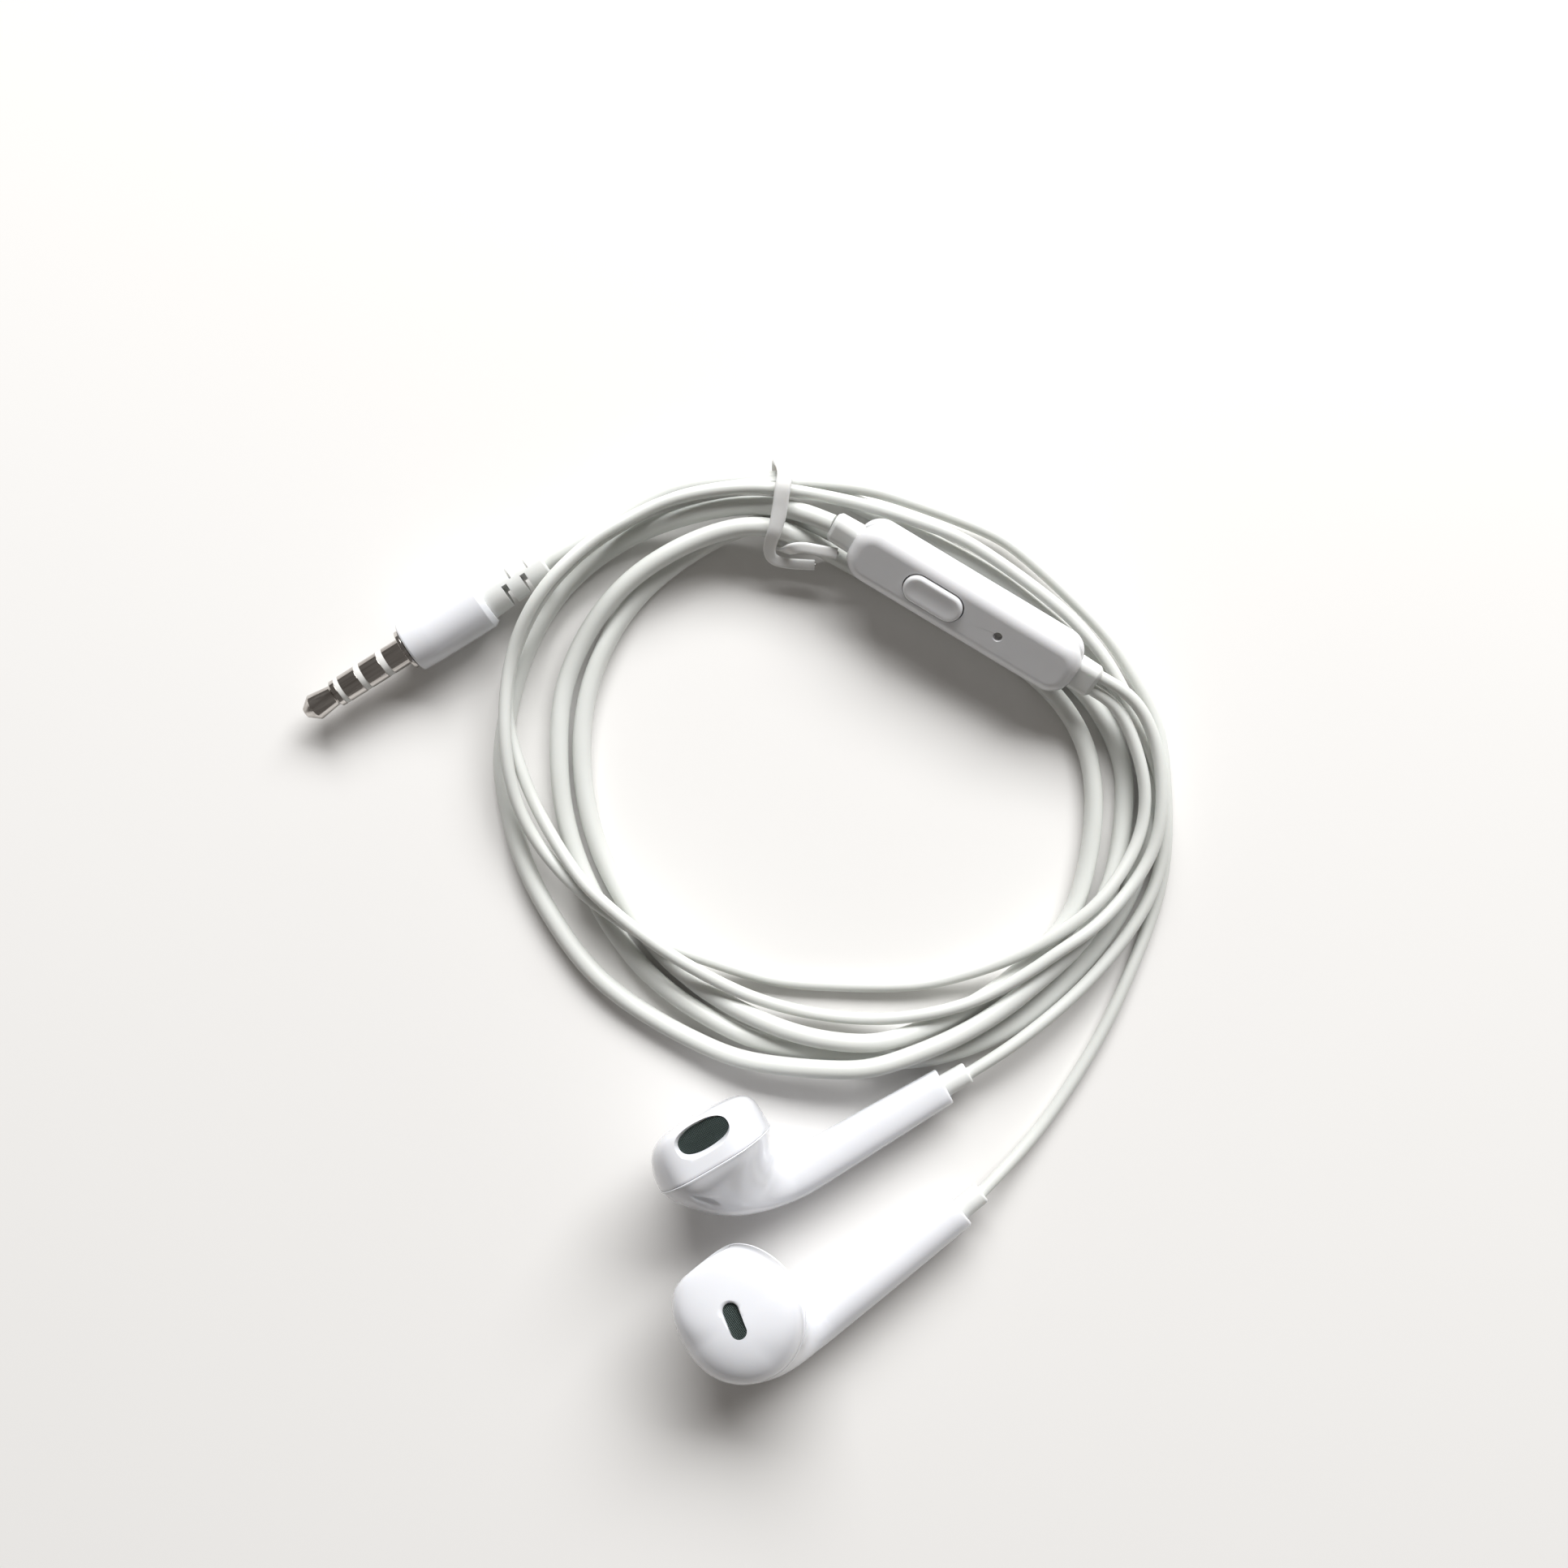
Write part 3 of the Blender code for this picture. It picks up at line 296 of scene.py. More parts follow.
def finish(name, dark, light, roughness, patch=120.0, grain=3000.0, bump=0.05, coat=0.0, metal=0.0,
           scatter=0.0, stretch=None):
    """A procedural surface: patches between two shades, roughness that varies and a fine grain. A
    stretch is the turn and the scale that draw the patches out into fine lines; on the plug's contacts
    these lines are painted reflection streaks."""
    look = bpy.data.materials.new(name)
    look.use_nodes = True
    tree = look.node_tree
    shader = tree.nodes["Principled BSDF"]
    place = node(tree, "ShaderNodeTexCoord").outputs["Object"]
    if stretch:
        turn = node(tree, "ShaderNodeMapping", vector_type="TEXTURE")
        turn.inputs["Rotation"].default_value = stretch[0]
        turn.inputs["Scale"].default_value = stretch[1]
        tree.links.new(place, turn.inputs["Vector"])
        place = turn.outputs["Vector"]
    tree.links.new(shades(tree, noise(tree, place, patch), dark, light), shader.inputs["Base Color"])
    tree.links.new(spread(tree, noise(tree, place, patch * 4), *roughness), shader.inputs["Roughness"])
    rise = node(tree, "ShaderNodeBump", Strength=bump, Distance=0.00005)
    tree.links.new(noise(tree, place, grain, 2.0), rise.inputs["Height"])
    tree.links.new(rise.outputs["Normal"], shader.inputs["Normal"])
    shader.inputs["Metallic"].default_value = metal
    shader.inputs["Coat Weight"].default_value = coat
    shader.inputs["Coat Roughness"].default_value = 0.08
    shader.inputs["Subsurface Weight"].default_value = scatter
    shader.inputs["Subsurface Radius"].default_value = (0.0012, 0.001, 0.0008)
    shader.inputs["Subsurface Scale"].default_value = 1.0
    return look


def woven(name, pitch, dark, light):
    """A fine wire weave laid out by the piece's UV map, which is in millimetres."""
    look = bpy.data.materials.new(name)
    look.use_nodes = True
    tree = look.node_tree
    shader = tree.nodes["Principled BSDF"]
    place = node(tree, "ShaderNodeTexCoord").outputs["UV"]
    waves = []
    for direction in ("X", "Y"):
        wave = node(tree, "ShaderNodeTexWave", Scale=math.tau / WAVE_ANGLE / pitch,
                    bands_direction=direction)
        tree.links.new(place, wave.inputs["Vector"])
        waves.append(wave.outputs["Fac"])
    higher = node(tree, "ShaderNodeMath", operation="MAXIMUM")
    tree.links.new(waves[0], higher.inputs[0])
    tree.links.new(waves[1], higher.inputs[1])
    wires = higher.outputs["Value"]
    tree.links.new(shades(tree, wires, dark, light), shader.inputs["Base Color"])
    rise = node(tree, "ShaderNodeBump", Strength=0.8, Distance=0.00008)
    tree.links.new(wires, rise.inputs["Height"])
    tree.links.new(rise.outputs["Normal"], shader.inputs["Normal"])
    shader.inputs["Roughness"].default_value = 0.42
    shader.inputs["Metallic"].default_value = 0.6
    return look


def make_finishes():
    """Every finish, by the short name the pieces use."""
    return {
        "shell": finish("shell_gloss", (0.78, 0.79, 0.825), (0.815, 0.825, 0.86), (0.13, 0.2),
                        bump=0.02, coat=0.5, scatter=0.15),
        "case": finish("case_gloss", (0.76, 0.765, 0.78), (0.80, 0.80, 0.815), (0.17, 0.24),
                       bump=0.03, coat=0.35, scatter=0.12),
        "button": finish("button_gloss", (0.77, 0.775, 0.79), (0.81, 0.81, 0.825), (0.2, 0.28),
                         bump=0.03, coat=0.25, scatter=0.12),
        "cord": finish("cord_satin", (0.67, 0.685, 0.655), (0.72, 0.735, 0.71), (0.34, 0.46),
                       patch=60.0, grain=1800.0, bump=0.16, scatter=0.1),
        "relief": finish("relief_satin", (0.72, 0.73, 0.715), (0.77, 0.78, 0.765), (0.4, 0.5),
                         grain=2500.0, bump=0.12, scatter=0.1),
        "tie": finish("tie_vinyl", (0.74, 0.74, 0.73), (0.80, 0.80, 0.79), (0.3, 0.42),
                      patch=300.0, grain=1500.0, bump=0.2, scatter=0.15),
        # The contacts: a plating tone with painted reflection streaks, drawn out along the plug's axis by
        # the stretch
        "contact": finish("contact_plating_painted_reflection", (0.40, 0.37, 0.345), (0.74, 0.71, 0.68), (0.09, 0.16),
                          patch=1500.0, grain=6000.0, bump=0.015, metal=1.0,
                          stretch=((0.0, 0.0, math.radians(PLUG_SLOPE)), (25.0, 1.0, 1.0))),
        "insulator": finish("insulator_moulding", (0.70, 0.70, 0.68), (0.76, 0.76, 0.74), (0.35, 0.45),
                            bump=0.08),
        "wire": finish("tie_wire", (0.42, 0.42, 0.41), (0.55, 0.55, 0.53), (0.3, 0.4), metal=1.0),
        "mesh": woven("acoustic_weave", 0.2, (0.006, 0.009, 0.008), (0.05, 0.07, 0.065)),
        "plastic": finish("black_moulding", (0.03, 0.03, 0.03), (0.05, 0.05, 0.05), (0.4, 0.55)),
        "film": finish("film", (0.42, 0.40, 0.36), (0.48, 0.45, 0.40), (0.25, 0.35), coat=0.3),
        "magnet": finish("magnet_plating", (0.30, 0.30, 0.31), (0.38, 0.38, 0.39), (0.25, 0.4),
                         metal=1.0),
        "steel": finish("steel_pressing", (0.50, 0.50, 0.51), (0.58, 0.58, 0.59), (0.28, 0.4),
                        metal=1.0),
        "board": finish("board_laminate", (0.03, 0.16, 0.07), (0.05, 0.22, 0.10), (0.35, 0.5),
                        coat=0.4),
        "floor": finish("pale_floor", (0.845, 0.835, 0.82), (0.855, 0.845, 0.83), (0.5, 0.6),
                        patch=3.0, grain=900.0, bump=0.02),
    }


# The finish of each CAD node that stays, by the start of its name
INNER_FINISHES = {"cord_knot": "film", "driver_diaphragm": "film", "driver_frame": "plastic",
                  "driver_magnet": "magnet", "driver_plate": "steel", "driver_yoke": "steel",
                  "remote_board": "board", "remote_switch_body": "plastic", "remote_snap_dome": "steel",
                  "remote_microphone": "steel", "plug_insulator": "insulator"}


def dress_inner_nodes(looks):
    """Put the finishes on the CAD nodes that stay."""
    for name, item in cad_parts.items():
        for stem, look in INNER_FINISHES.items():
            if name.startswith(stem):
                item.data.materials.clear()
                item.data.materials.append(looks[look])


# Shapes

def frame_from(origin, x_axis, y_axis):
    """Right-handed axes at a point, with y squared up to x."""
    x = Vector(x_axis).normalized()
    z = x.cross(Vector(y_axis)).normalized()
    y = z.cross(x)
    axes = Matrix((x, y, z)).transposed().to_4x4()
    axes.translation = Vector(origin)
    return axes


def along_x(axes, x, y, z):
    """A frame at a point of another, whose z axis is the other's x axis."""
    return axes @ Matrix.Translation((x, y, z)) @ Matrix.Rotation(math.radians(90), 4, "Y")


def add_object(name, data):
    """An object in the scene that shows some data."""
    made = bpy.data.objects.new(name, data)
    bpy.context.collection.objects.link(made)
    return made


def add_solid(name, bm, axes, look):
    """An object from a mesh in millimetres, placed by its axes."""
    bm.transform(axes)
    bm.transform(Matrix.Scale(MM, 4))
    bmesh.ops.recalc_face_normals(bm, faces=bm.faces[:])
    mesh = bpy.data.meshes.new(name)
    bm.to_mesh(mesh)
    bm.free()
    mesh.materials.append(look)
    return add_object(name, mesh)


def add_piece(name, bm, axes, look, nodes=(), body="lead", sharp=38):
    """A finished piece that rides with a body and stands for CAD nodes."""
    piece = add_solid(name, bm, axes, look)
    smooth(piece.data, sharp)
    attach(piece, body)
    if nodes:
        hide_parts(*nodes)
    return piece


def smooth(mesh, sharp):
    """Smooth shading that breaks at edges sharper than so many degrees."""
    mesh.shade_smooth()
    mesh.set_sharp_from_angle(angle=math.radians(sharp))


def carve(piece, cutters, axes, sharp):
    """Take closed shapes out of a piece, for good."""
    for bm in cutters:
        cutter = add_solid("cutter", bm, axes, piece.data.materials[0])
        cut = piece.modifiers.new("cut", "BOOLEAN")
        cut.operation = "DIFFERENCE"
        cut.solver = "EXACT"
        cut.object = cutter
        bpy.context.view_layer.update()
        seen = piece.evaluated_get(bpy.context.evaluated_depsgraph_get())
        carved = bpy.data.meshes.new_from_object(seen)
        piece.modifiers.clear()
        piece.data = carved
        bpy.data.objects.remove(cutter, do_unlink=True)
    smooth(piece.data, sharp)
    even = piece.modifiers.new("normals", "WEIGHTED_NORMAL")
    even.keep_sharp = True
    even.weight = 100


def bridge(bm, first, second):
    """Faces between two rings of vertices; a ring of one vertex is a pole."""
    count = max(len(first), len(second))
    for i in range(count):
        j = (i + 1) % count
        if len(first) == 1:
            corners = (first[0], second[i], second[j])
        elif len(second) == 1:
            corners = (first[i], first[j], second[0])
        else:
            corners = (first[i], first[j], second[j], second[i])
        bm.faces.new(corners)


def skin(rings):
    """One closed surface over rings of points, capped at its ends; a ring of one point is a pole."""
    bm = bmesh.new()
    rows = [[bm.verts.new(point) for point in ring] for ring in rings]
    for first, second in zip(rows, rows[1:]):
        bridge(bm, first, second)
    for row in (rows[0], rows[-1]):
        if len(row) > 1:
            bm.faces.new(row)
    return bm


def filleted(corners, steps=6):
    """A profile through (a, b, radius) corners, each rounded by its own radius."""
    line = []
    for i, (a, b, radius) in enumerate(corners):
        if radius == 0:
            line.append((a, b))
            continue
        here = Vector((a, b))
        before = (Vector(corners[i - 1][:2]) - here).normalized()
        after = (Vector(corners[i + 1][:2]) - here).normalized()
        half = before.angle(after) / 2
        centre = here + (before + after).normalized() * radius / math.sin(half)
        start = here + before * radius / math.tan(half) - centre
        end = here + after * radius / math.tan(half) - centre
        first = math.atan2(start.y, start.x)
        swing = (math.atan2(end.y, end.x) - first + math.pi) % math.tau - math.pi
        for step in range(steps + 1):
            angle = first + swing * step / steps
            line.append((centre.x + radius * math.cos(angle), centre.y + radius * math.sin(angle)))
    return line


def turned(profile, segments=96, middle=(0.0, 0.0)):
    """A profile of (height, radius) pairs turned about a line along z."""
    rings = []
    for height, radius in profile:
        if radius == 0:
            rings.append([(middle[0], middle[1], height)])
            continue
        turns = [math.tau * i / segments for i in range(segments)]
        rings.append([(middle[0] + radius * math.cos(a), middle[1] + radius * math.sin(a), height)
                      for a in turns])
    return skin(rings)


def rounded_outline(length, width, corner, steps=14):
    """A rectangle with round corners, as (x, y) points."""
    points = []
    for quarter in range(4):
        x = (length / 2 - corner) * (1 if quarter in (0, 3) else -1)
        y = (width / 2 - corner) * (1 if quarter in (0, 1) else -1)
        for step in range(steps + 1):
            angle = math.radians(90 * (quarter + step / steps))
            points.append((x + corner * math.cos(angle), y + corner * math.sin(angle)))
    return points


def bowed(share, half, power):
    """One coordinate of an oval from its angle's sine or cosine; a power below 1 squares the oval."""
    return half * math.copysign(abs(share) ** power, share)


def lofted_oval(size, power, profile, steps=96):
    """Ovals, rounder or squarer by their power, stacked by a profile of (height, inset) pairs."""
    rings = []
    for height, inset in profile:
        ring = []
        for step in range(steps):
            turn = math.tau * step / steps
            ring.append((bowed(math.cos(turn), size[0] / 2 - inset, 2 / power),
                         bowed(math.sin(turn), size[1] / 2 - inset, 2 / power), height))
        rings.append(ring)
    return skin(rings)


def lofted_pill(size, profile, middle=(0.0, 0.0), corner=None):
    """Rectangles with round corners, or round ends, stacked by a profile of (height, inset) pairs."""
    rings = []
    for height, inset in profile:
        length, width = size[0] - 2 * inset, size[1] - 2 * inset
        bend = (corner if corner else min(size) / 2) - inset
        widest = min(length, width) / 2 - 0.005
        outline = rounded_outline(length, width, max(min(bend, widest), 0.02))
        rings.append([(x + middle[0], y + middle[1], height) for x, y in outline])
    return skin(rings)


def smooth_line(points, steps):
    """A Catmull-Rom curve through tuples of any length."""
    before = tuple(2 * a - b for a, b in zip(points[0], points[1]))
    after = tuple(2 * a - b for a, b in zip(points[-1], points[-2]))
    chain = [before, *points, after]
    line = []
    for p0, p1, p2, p3 in zip(chain, chain[1:], chain[2:], chain[3:]):
        for step in range(steps):
            t = step / steps
            line.append(tuple(
                0.5 * (2 * b + (c - a) * t + (2 * a - 5 * b + 4 * c - d) * t ** 2
                       + (3 * b - a - 3 * c + d) * t ** 3)
                for a, b, c, d in zip(p0, p1, p2, p3)))
    line.append(tuple(points[-1]))
    return line


def relaxed(line, passes):
    """The line with its small kinks eased out, its ends kept."""
    for _ in range(passes):
        middle = [tuple((a + 2 * b + c) / 4 for a, b, c in zip(p, q, r))
                  for p, q, r in zip(line, line[1:], line[2:])]
        line = [line[0]] + middle + [line[-1]]
    return line


def even_points(line, count):
    """The same line with its points evenly spaced."""
    reach = [0.0]
    for a, b in zip(line, line[1:]):
        reach.append(reach[-1] + math.dist(a, b))
    points = []
    index = 0
    for i in range(count):
        target = reach[-1] * i / (count - 1)
        while index < len(line) - 2 and reach[index + 1] < target:
            index += 1
        part = (target - reach[index]) / (reach[index + 1] - reach[index])
        points.append(tuple(a + (b - a) * part for a, b in zip(line[index], line[index + 1])))
    return points


# Cords and camera

def run_on(line, reach):
    """The line with both its ends carried straight on."""
    first = Vector(line[0]) + (Vector(line[0]) - Vector(line[3])).normalized() * reach
    last = Vector(line[-1]) + (Vector(line[-1]) - Vector(line[-4])).normalized() * reach
    return [tuple(first)] + line + [tuple(last)]


def add_cord(name, route, diameter, count, look):
    """A round cord along a route, run on into its boots, with the points it follows."""
    line = even_points(relaxed(smooth_line(route, CURVE_STEPS), EASING), count)
    line = run_on(relaxed(line, LAST_EASING), BOOT_REACH)
    curve = bpy.data.curves.new(name, "CURVE")
    curve.dimensions = "3D"
    curve.bevel_depth = diameter / 2 * MM
    curve.bevel_resolution = 8
    curve.use_fill_caps = True
    curve.materials.append(look)
    spline = curve.splines.new("POLY")
    spline.points.add(len(line) - 1)
    for target, point in zip(spline.points, line):
        target.co = (*(value * MM for value in point), 1.0)
    spline.use_smooth = True
    cord = add_object(name, curve)
    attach(cord, "lead")
    return cord, line


def add_camera():
    """The photo's camera, looking straight down."""
    camera = bpy.data.cameras.new("camera")
    camera.lens = LENS
    camera.sensor_width = 36.0
    camera.clip_start = 0.01
    holder = add_object("camera", camera)
    holder.location = [value * MM for value in CAMERA_PLACE]
    bpy.context.scene.camera = holder


# Wire tie

def tie_band(looks):
    """The plastic-covered wire round the strands: a flat band, a little dished, with bare wire ends."""
    line = relaxed(smooth_line(TIE_ROUTE, TIE_STEPS), TIE_EASING)
    line = [Vector(point) for point in even_points(line, TIE_POINTS)]
    rings = []
    for i, point in enumerate(line):
        ahead = (line[min(i + 1, len(line) - 1)] - line[max(i - 1, 0)]).normalized()
        leaving = max(0.0, 1 - min(i, len(line) - 1 - i) / TIE_TAIL)
        tail = min(1.0, TAIL_HASTE * leaving)
        out = point - Vector(TIE_MIDDLE)
        out.x *= TIE_SLANT
        out = out.normalized().lerp(Vector(TAIL_FACING), tail)
        out = (out - ahead * out.dot(ahead)).normalized()
        side = ahead.cross(out)
        rings.append([point + side * across + out * rise for across, rise in tie_section(tail)])
    start, end = TIE_WIRE_SPAN
    stub = ((start, 0.0, 0), (start, TIE_WIRE, 0), (end, TIE_WIRE, 0.06), (end, 0.0, 0))
    ends = []
    for number, (tip, before) in enumerate(((line[0], line[4]), (line[-1], line[-5])), 1):
        axes = along_x(frame_from(tip, tip - before, (0.0, 0.0, 1.0)), 0.0, 0.0, 0.0)
        ends.append(add_piece("tie_wire_end_%d" % number, turned(filleted(stub), 20), axes,
                              looks["wire"]))
    band = add_piece("tie_band", skin(rings), Matrix.Identity(4), looks["tie"],
                     ["twist_tie"])
    return [band] + ends


def tie_section(tail):
    """The band's section as (across, rise) pairs; it is narrower the more of a tail it is."""
    width, height = TIE_SIZE
    section = []
    for step in range(TIE_SEGMENTS):
        turn = math.tau * step / TIE_SEGMENTS
        across = bowed(math.cos(turn), width / 2 * (1 - TAIL_TAPER * tail), TIE_SQUARENESS)
        dish = 1 - TIE_DISH * (1 - (2 * across / width) ** 2)
        section.append((across, bowed(math.sin(turn), height / 2 * dish, TIE_SQUARENESS)))
    return section


# Plug

def plug(looks):
    """The plug from its rounded nose to its bend relief, every piece turned about one line."""
    slope = math.radians(PLUG_SLOPE)
    axes = frame_from(PLUG_NOSE, (0.0, 0.0, -1.0), (-math.sin(slope), math.cos(slope), 0.0))
    spans = INSULATOR_SPANS
    made = []

    def part(name, corners, look, slot, nodes):
        """A piece turned about the plug's line."""
        bm = turned(filleted(corners))
        made.append(add_piece(name, bm, axes, looks[look], nodes, sharp=50))
        return made[-1]

    tip = ((0.0, 0.0, 0), (0.0, 0.65, 0.22), (1.35, 1.72, 0.35), (4.2, 1.32, 0.25), (4.5, 1.72, 0.06),
           (spans[0][0], 1.72, 0.05), (spans[0][0], 0.0, 0))
    part("contact_tip", tip, "contact", "contact_metal", ["plug_tip"])
    for number, (start, end) in enumerate(((spans[0][1], spans[1][0]), (spans[1][1], spans[2][0])), 1):
        ring = ((start, 0.0, 0), (start, PIN_RADIUS, 0.06), (end, PIN_RADIUS, 0.06), (end, 0.0, 0))
        part("contact_ring_%d" % number, ring, "contact", "contact_metal", ["plug_ring_%d" % number])
    for number, (start, end) in enumerate(spans, 1):
        radius = PIN_RADIUS - 0.04
        band = ((start, 0.0, 0), (start, radius, 0.03), (end, radius, 0.03), (end, 0.0, 0))
        part("insulator_band_%d" % number, band, "insulator", "insulator_white",
             ["plug_insulator"] if number == 1 else [])
    start, end = FLANGE_SPAN
    sleeve = ((spans[2][1], 0.0, 0), (spans[2][1], PIN_RADIUS, 0.06), (start, PIN_RADIUS, 0.08),
              (start, FLANGE_RADIUS, 0.1), (end, FLANGE_RADIUS, 0.1), (end, 0.0, 0))
    part("contact_sleeve", sleeve, "contact", "contact_metal", ["plug_sleeve"])
    start, end = HOUSING_SPAN
    barrel = ((start, 0.0, 0), (start, HOUSING_RADIUS - 0.12, 0.35), (start + 3.0, HOUSING_RADIUS, 6.0),
              (end - 0.7, HOUSING_RADIUS, 0.2), (end, HOUSING_RADIUS - 0.4, 0.12), (end, 0.0, 0))
    part("grip_barrel", barrel, "shell", "shell_gloss_white", ["plug_housing"])
    start, end = PLUG_RELIEF_SPAN
    wide, narrow = PLUG_RELIEF_RADII
    boot = ((start - 0.4, 0.0, 0), (start - 0.4, wide, 0.05), (end, narrow, 0.35), (end, 0.0, 0))
    relief = part("bend_relief", boot, "relief", "relief_white", ["plug_relief"])
    slots = []
    for side, places in ((-1, SLOTS_BELOW), (1, SLOTS_ABOVE)):
        for place in places:
            slot = lofted_pill(SLOT_SIZE, [(depth, 0.0) for depth in SLOT_SPAN], corner=0.12)
            turn = Matrix.Rotation(math.radians(-90 * side), 4, "X")
            slot.transform(Matrix.Translation((0.0, 0.0, place)) @ turn)
            slots.append(slot)
    carve(relief, slots, axes, 50)
    return made


# Inline remote

def quarter_round(top, radius, steps):
    """A rounded edge below a top, as (height, inset) pairs."""
    turns = [math.radians(90 * step / steps) for step in range(steps + 1)]
    return [(top - radius + radius * math.sin(a), radius * (1 - math.cos(a))) for a in turns]


def case_half(name, axes, up, looks, node_name):
    """Half of the remote's case, its long edges and ends rounded like a worn soap bar."""
    profile = [(0.04, 0.8), (0.04, 0.06), (0.1, 0.0)]
    profile += quarter_round(REMOTE_HEIGHT / 2, REMOTE_EDGE, 12)
    profile = [(up * height, inset) for height, inset in profile]
    bm = lofted_pill((REMOTE_LENGTH, REMOTE_WIDTH), profile, corner=REMOTE_CORNER)
    return add_piece(name, bm, axes, looks["case"], [node_name], sharp=45)


def remote(looks):
    """The remote's two case halves, its button, its microphone and the boots at its ends."""
    slope = math.radians(REMOTE_SLOPE)
    along = (math.cos(slope), math.sin(slope), 0.0)
    axes = frame_from(REMOTE_MIDDLE, along, (-along[1], along[0], 0.0))
    axes = axes @ Matrix.Rotation(math.radians(REMOTE_ROLL), 4, "X")
    face = REMOTE_HEIGHT / 2
    top = case_half("case_top", axes, 1, looks, "remote_case_top")
    case_half("case_bottom", axes, -1, looks, "remote_case_bottom")
    moat = ((1.2, 0.0), (face - 0.12, 0.0), (face - 0.04, -0.03), (face + 0.02, -0.1),
            (face + 0.6, -0.7))
    hole = lofted_pill([value + 2 * BUTTON_GAP for value in BUTTON_SIZE], moat, (BUTTON_ALONG, 0.0))
    radius = MICROPHONE_HOLE / 2
    bore = ((face - 0.9, 0.0), (face - 0.9, radius), (face - 0.12, radius),
            (face - 0.03, radius + 0.05), (face + 0.1, radius + 0.25), (face + 0.1, 0.0))
    carve(top, [hole, turned(bore, 48, (MICROPHONE_ALONG, 0.0))], axes, 45)
    disc = ((face - 0.92, 0.0), (face - 0.92, 0.6), (face - 0.8, 0.6), (face - 0.8, 0.0))
    gauze = turned(disc, 32, (MICROPHONE_ALONG, 0.0))
    add_piece("microphone_gauze", gauze, axes, looks["wire"])
    crown = [(1.4, -0.4), (1.8, -0.4), (1.82, 0.0), (BUTTON_TOP - 0.6, 0.0)]
    crown += quarter_round(BUTTON_TOP, BUTTON_ROUND, 8)
    crown += [(BUTTON_TOP - 0.05, 0.8), (BUTTON_TOP - 0.11, 1.2), (BUTTON_TOP - 0.14, 1.7)]
    key = lofted_pill(BUTTON_SIZE, crown, (BUTTON_ALONG, 0.0))
    add_piece("button_key", key, axes, looks["button"], ["remote_button"], "button", 45)
    for name, (length, width, height, turn, node_name) in REMOTE_BOOTS.items():
        start = REMOTE_LENGTH / 2 - 0.3
        end = REMOTE_LENGTH / 2 + length
        profile = ((start, 0.6, 0), (start, 0.0, 0), (end - 0.45, 0.1, 0.4), (end, 0.5, 0.25),
                   (end, height / 2 - 0.1, 0))
        boot = lofted_pill((height, width), filleted(profile), corner=height / 2 - 0.25)
        facing = axes @ Matrix.Rotation(math.radians(turn), 4, "Z")
        add_piece(name, boot, along_x(facing, 0.0, 0.0, 0.0), looks["relief"],
                  [node_name])


# Earphones

def facet_fullness(turn):
    """How much fuller than round the head is in a direction: 1 towards the port, 0 behind it."""
    return max(0.0, math.sin(turn + math.radians(FACET_TURN))) ** 2


def soft_least(value, most):
    """The value, easing over into its upper limit instead of stopping at it."""
    over = (most - value) / FACET_SOFTNESS
    if abs(over) > 30:
        return min(value, most)
    return most - FACET_SOFTNESS * math.log1p(math.exp(over))


def head_ring(lift, inset):
    """One ring of the domed front; the inset moves it inwards."""
    t = math.sin(math.radians(lift))
    height = DOME_HEIGHT - inset
    ring = []
    for i in range(HEAD_SEGMENTS):
        turn = math.tau * i / HEAD_SEGMENTS
        full = facet_fullness(turn)
        squarer = PORT_POWER * full + STEM_POWER * max(0.0, math.cos(turn)) ** 2
        power = DOME_POWER + squarer * (1 - t ** POWER_FADE)
        scale = (HEAD_RADIUS - inset + FACET_FULLNESS * full) * (1 - t ** power) ** (1 / power)
        p = soft_least(scale * math.sin(turn), FACET_REACH - inset)
        ring.append((HEAD_MIDDLE + scale * math.cos(turn), p, SEAM / 2 + t * (height + DOME_LEAN * p)))
    return ring


def shrunk(ring, by):
    """A ring drawn in towards its middle by a small distance."""
    s = sum(point[0] for point in ring) / len(ring)
    p = sum(point[1] for point in ring) / len(ring)
    small = []
    for point in ring:
        away = Vector((point[0] - s, point[1] - p))
        away *= 1 - by / away.length
        small.append((s + away.x, p + away.y, point[2]))
    return small


def mirrored(rings, hand):
    """Rings of (s, p, f) points for one hand."""
    return [[(point[0], hand * point[1], point[2]) for point in ring] for ring in rings]


def front_shell(side, axes, hand, looks):
    """The domed half of the head, with a flared sound port in its facet and a vent slot in its top."""
    outer = [head_ring(lift, 0.0) for lift in DOME_LIFTS]
    edge = []
    for angle in (0, 30, 60):
        turn = math.radians(angle)
        ring = shrunk(outer[0], SEAM_EDGE * (1 - math.sin(turn)) + SEAM_STEP)
        edge.append([(s, p, f + SEAM_EDGE * (1 - math.cos(turn))) for s, p, f in ring])
    outer = [shrunk(ring, SEAM_STEP) for ring in outer if ring[0][2] > SEAM / 2 + SEAM_EDGE]
    inner = [head_ring(lift, WALL) for lift in INNER_LIFTS]
    top = SEAM / 2 + DOME_HEIGHT
    rings = [[(HEAD_MIDDLE, 0.0, top - WALL)], *inner, *edge, *outer, [(HEAD_MIDDLE, 0.0, top)]]
    shell = add_piece("front_dome_" + side, skin(mirrored(rings, hand)), axes, looks["shell"],
                      ["front_shell_" + side], sharp=60)
    flare = ((-PORT_DEPTH - 1.2, PORT_SLOPE), (-PORT_DEPTH, PORT_SLOPE), (-0.5, 0.24), (-0.22, 0.1),
             (-0.1, 0.02), (-0.02, -0.1), (0.03, -0.2), (0.12, -0.32), (0.9, -0.9))
    port = lofted_oval(PORT_SIZE, PORT_ROUNDNESS, flare)
    port.transform(facing_port(hand, 0.0))
    lip = ((-VENT_DEPTH - 0.6, 0.0), (-0.14, 0.0), (-0.04, -0.03), (0.05, -0.12), (0.6, -0.7))
    slot = vent_pill([(top + height, inset) for height, inset in lip], hand)
    carve(shell, [port, slot], axes, 60)


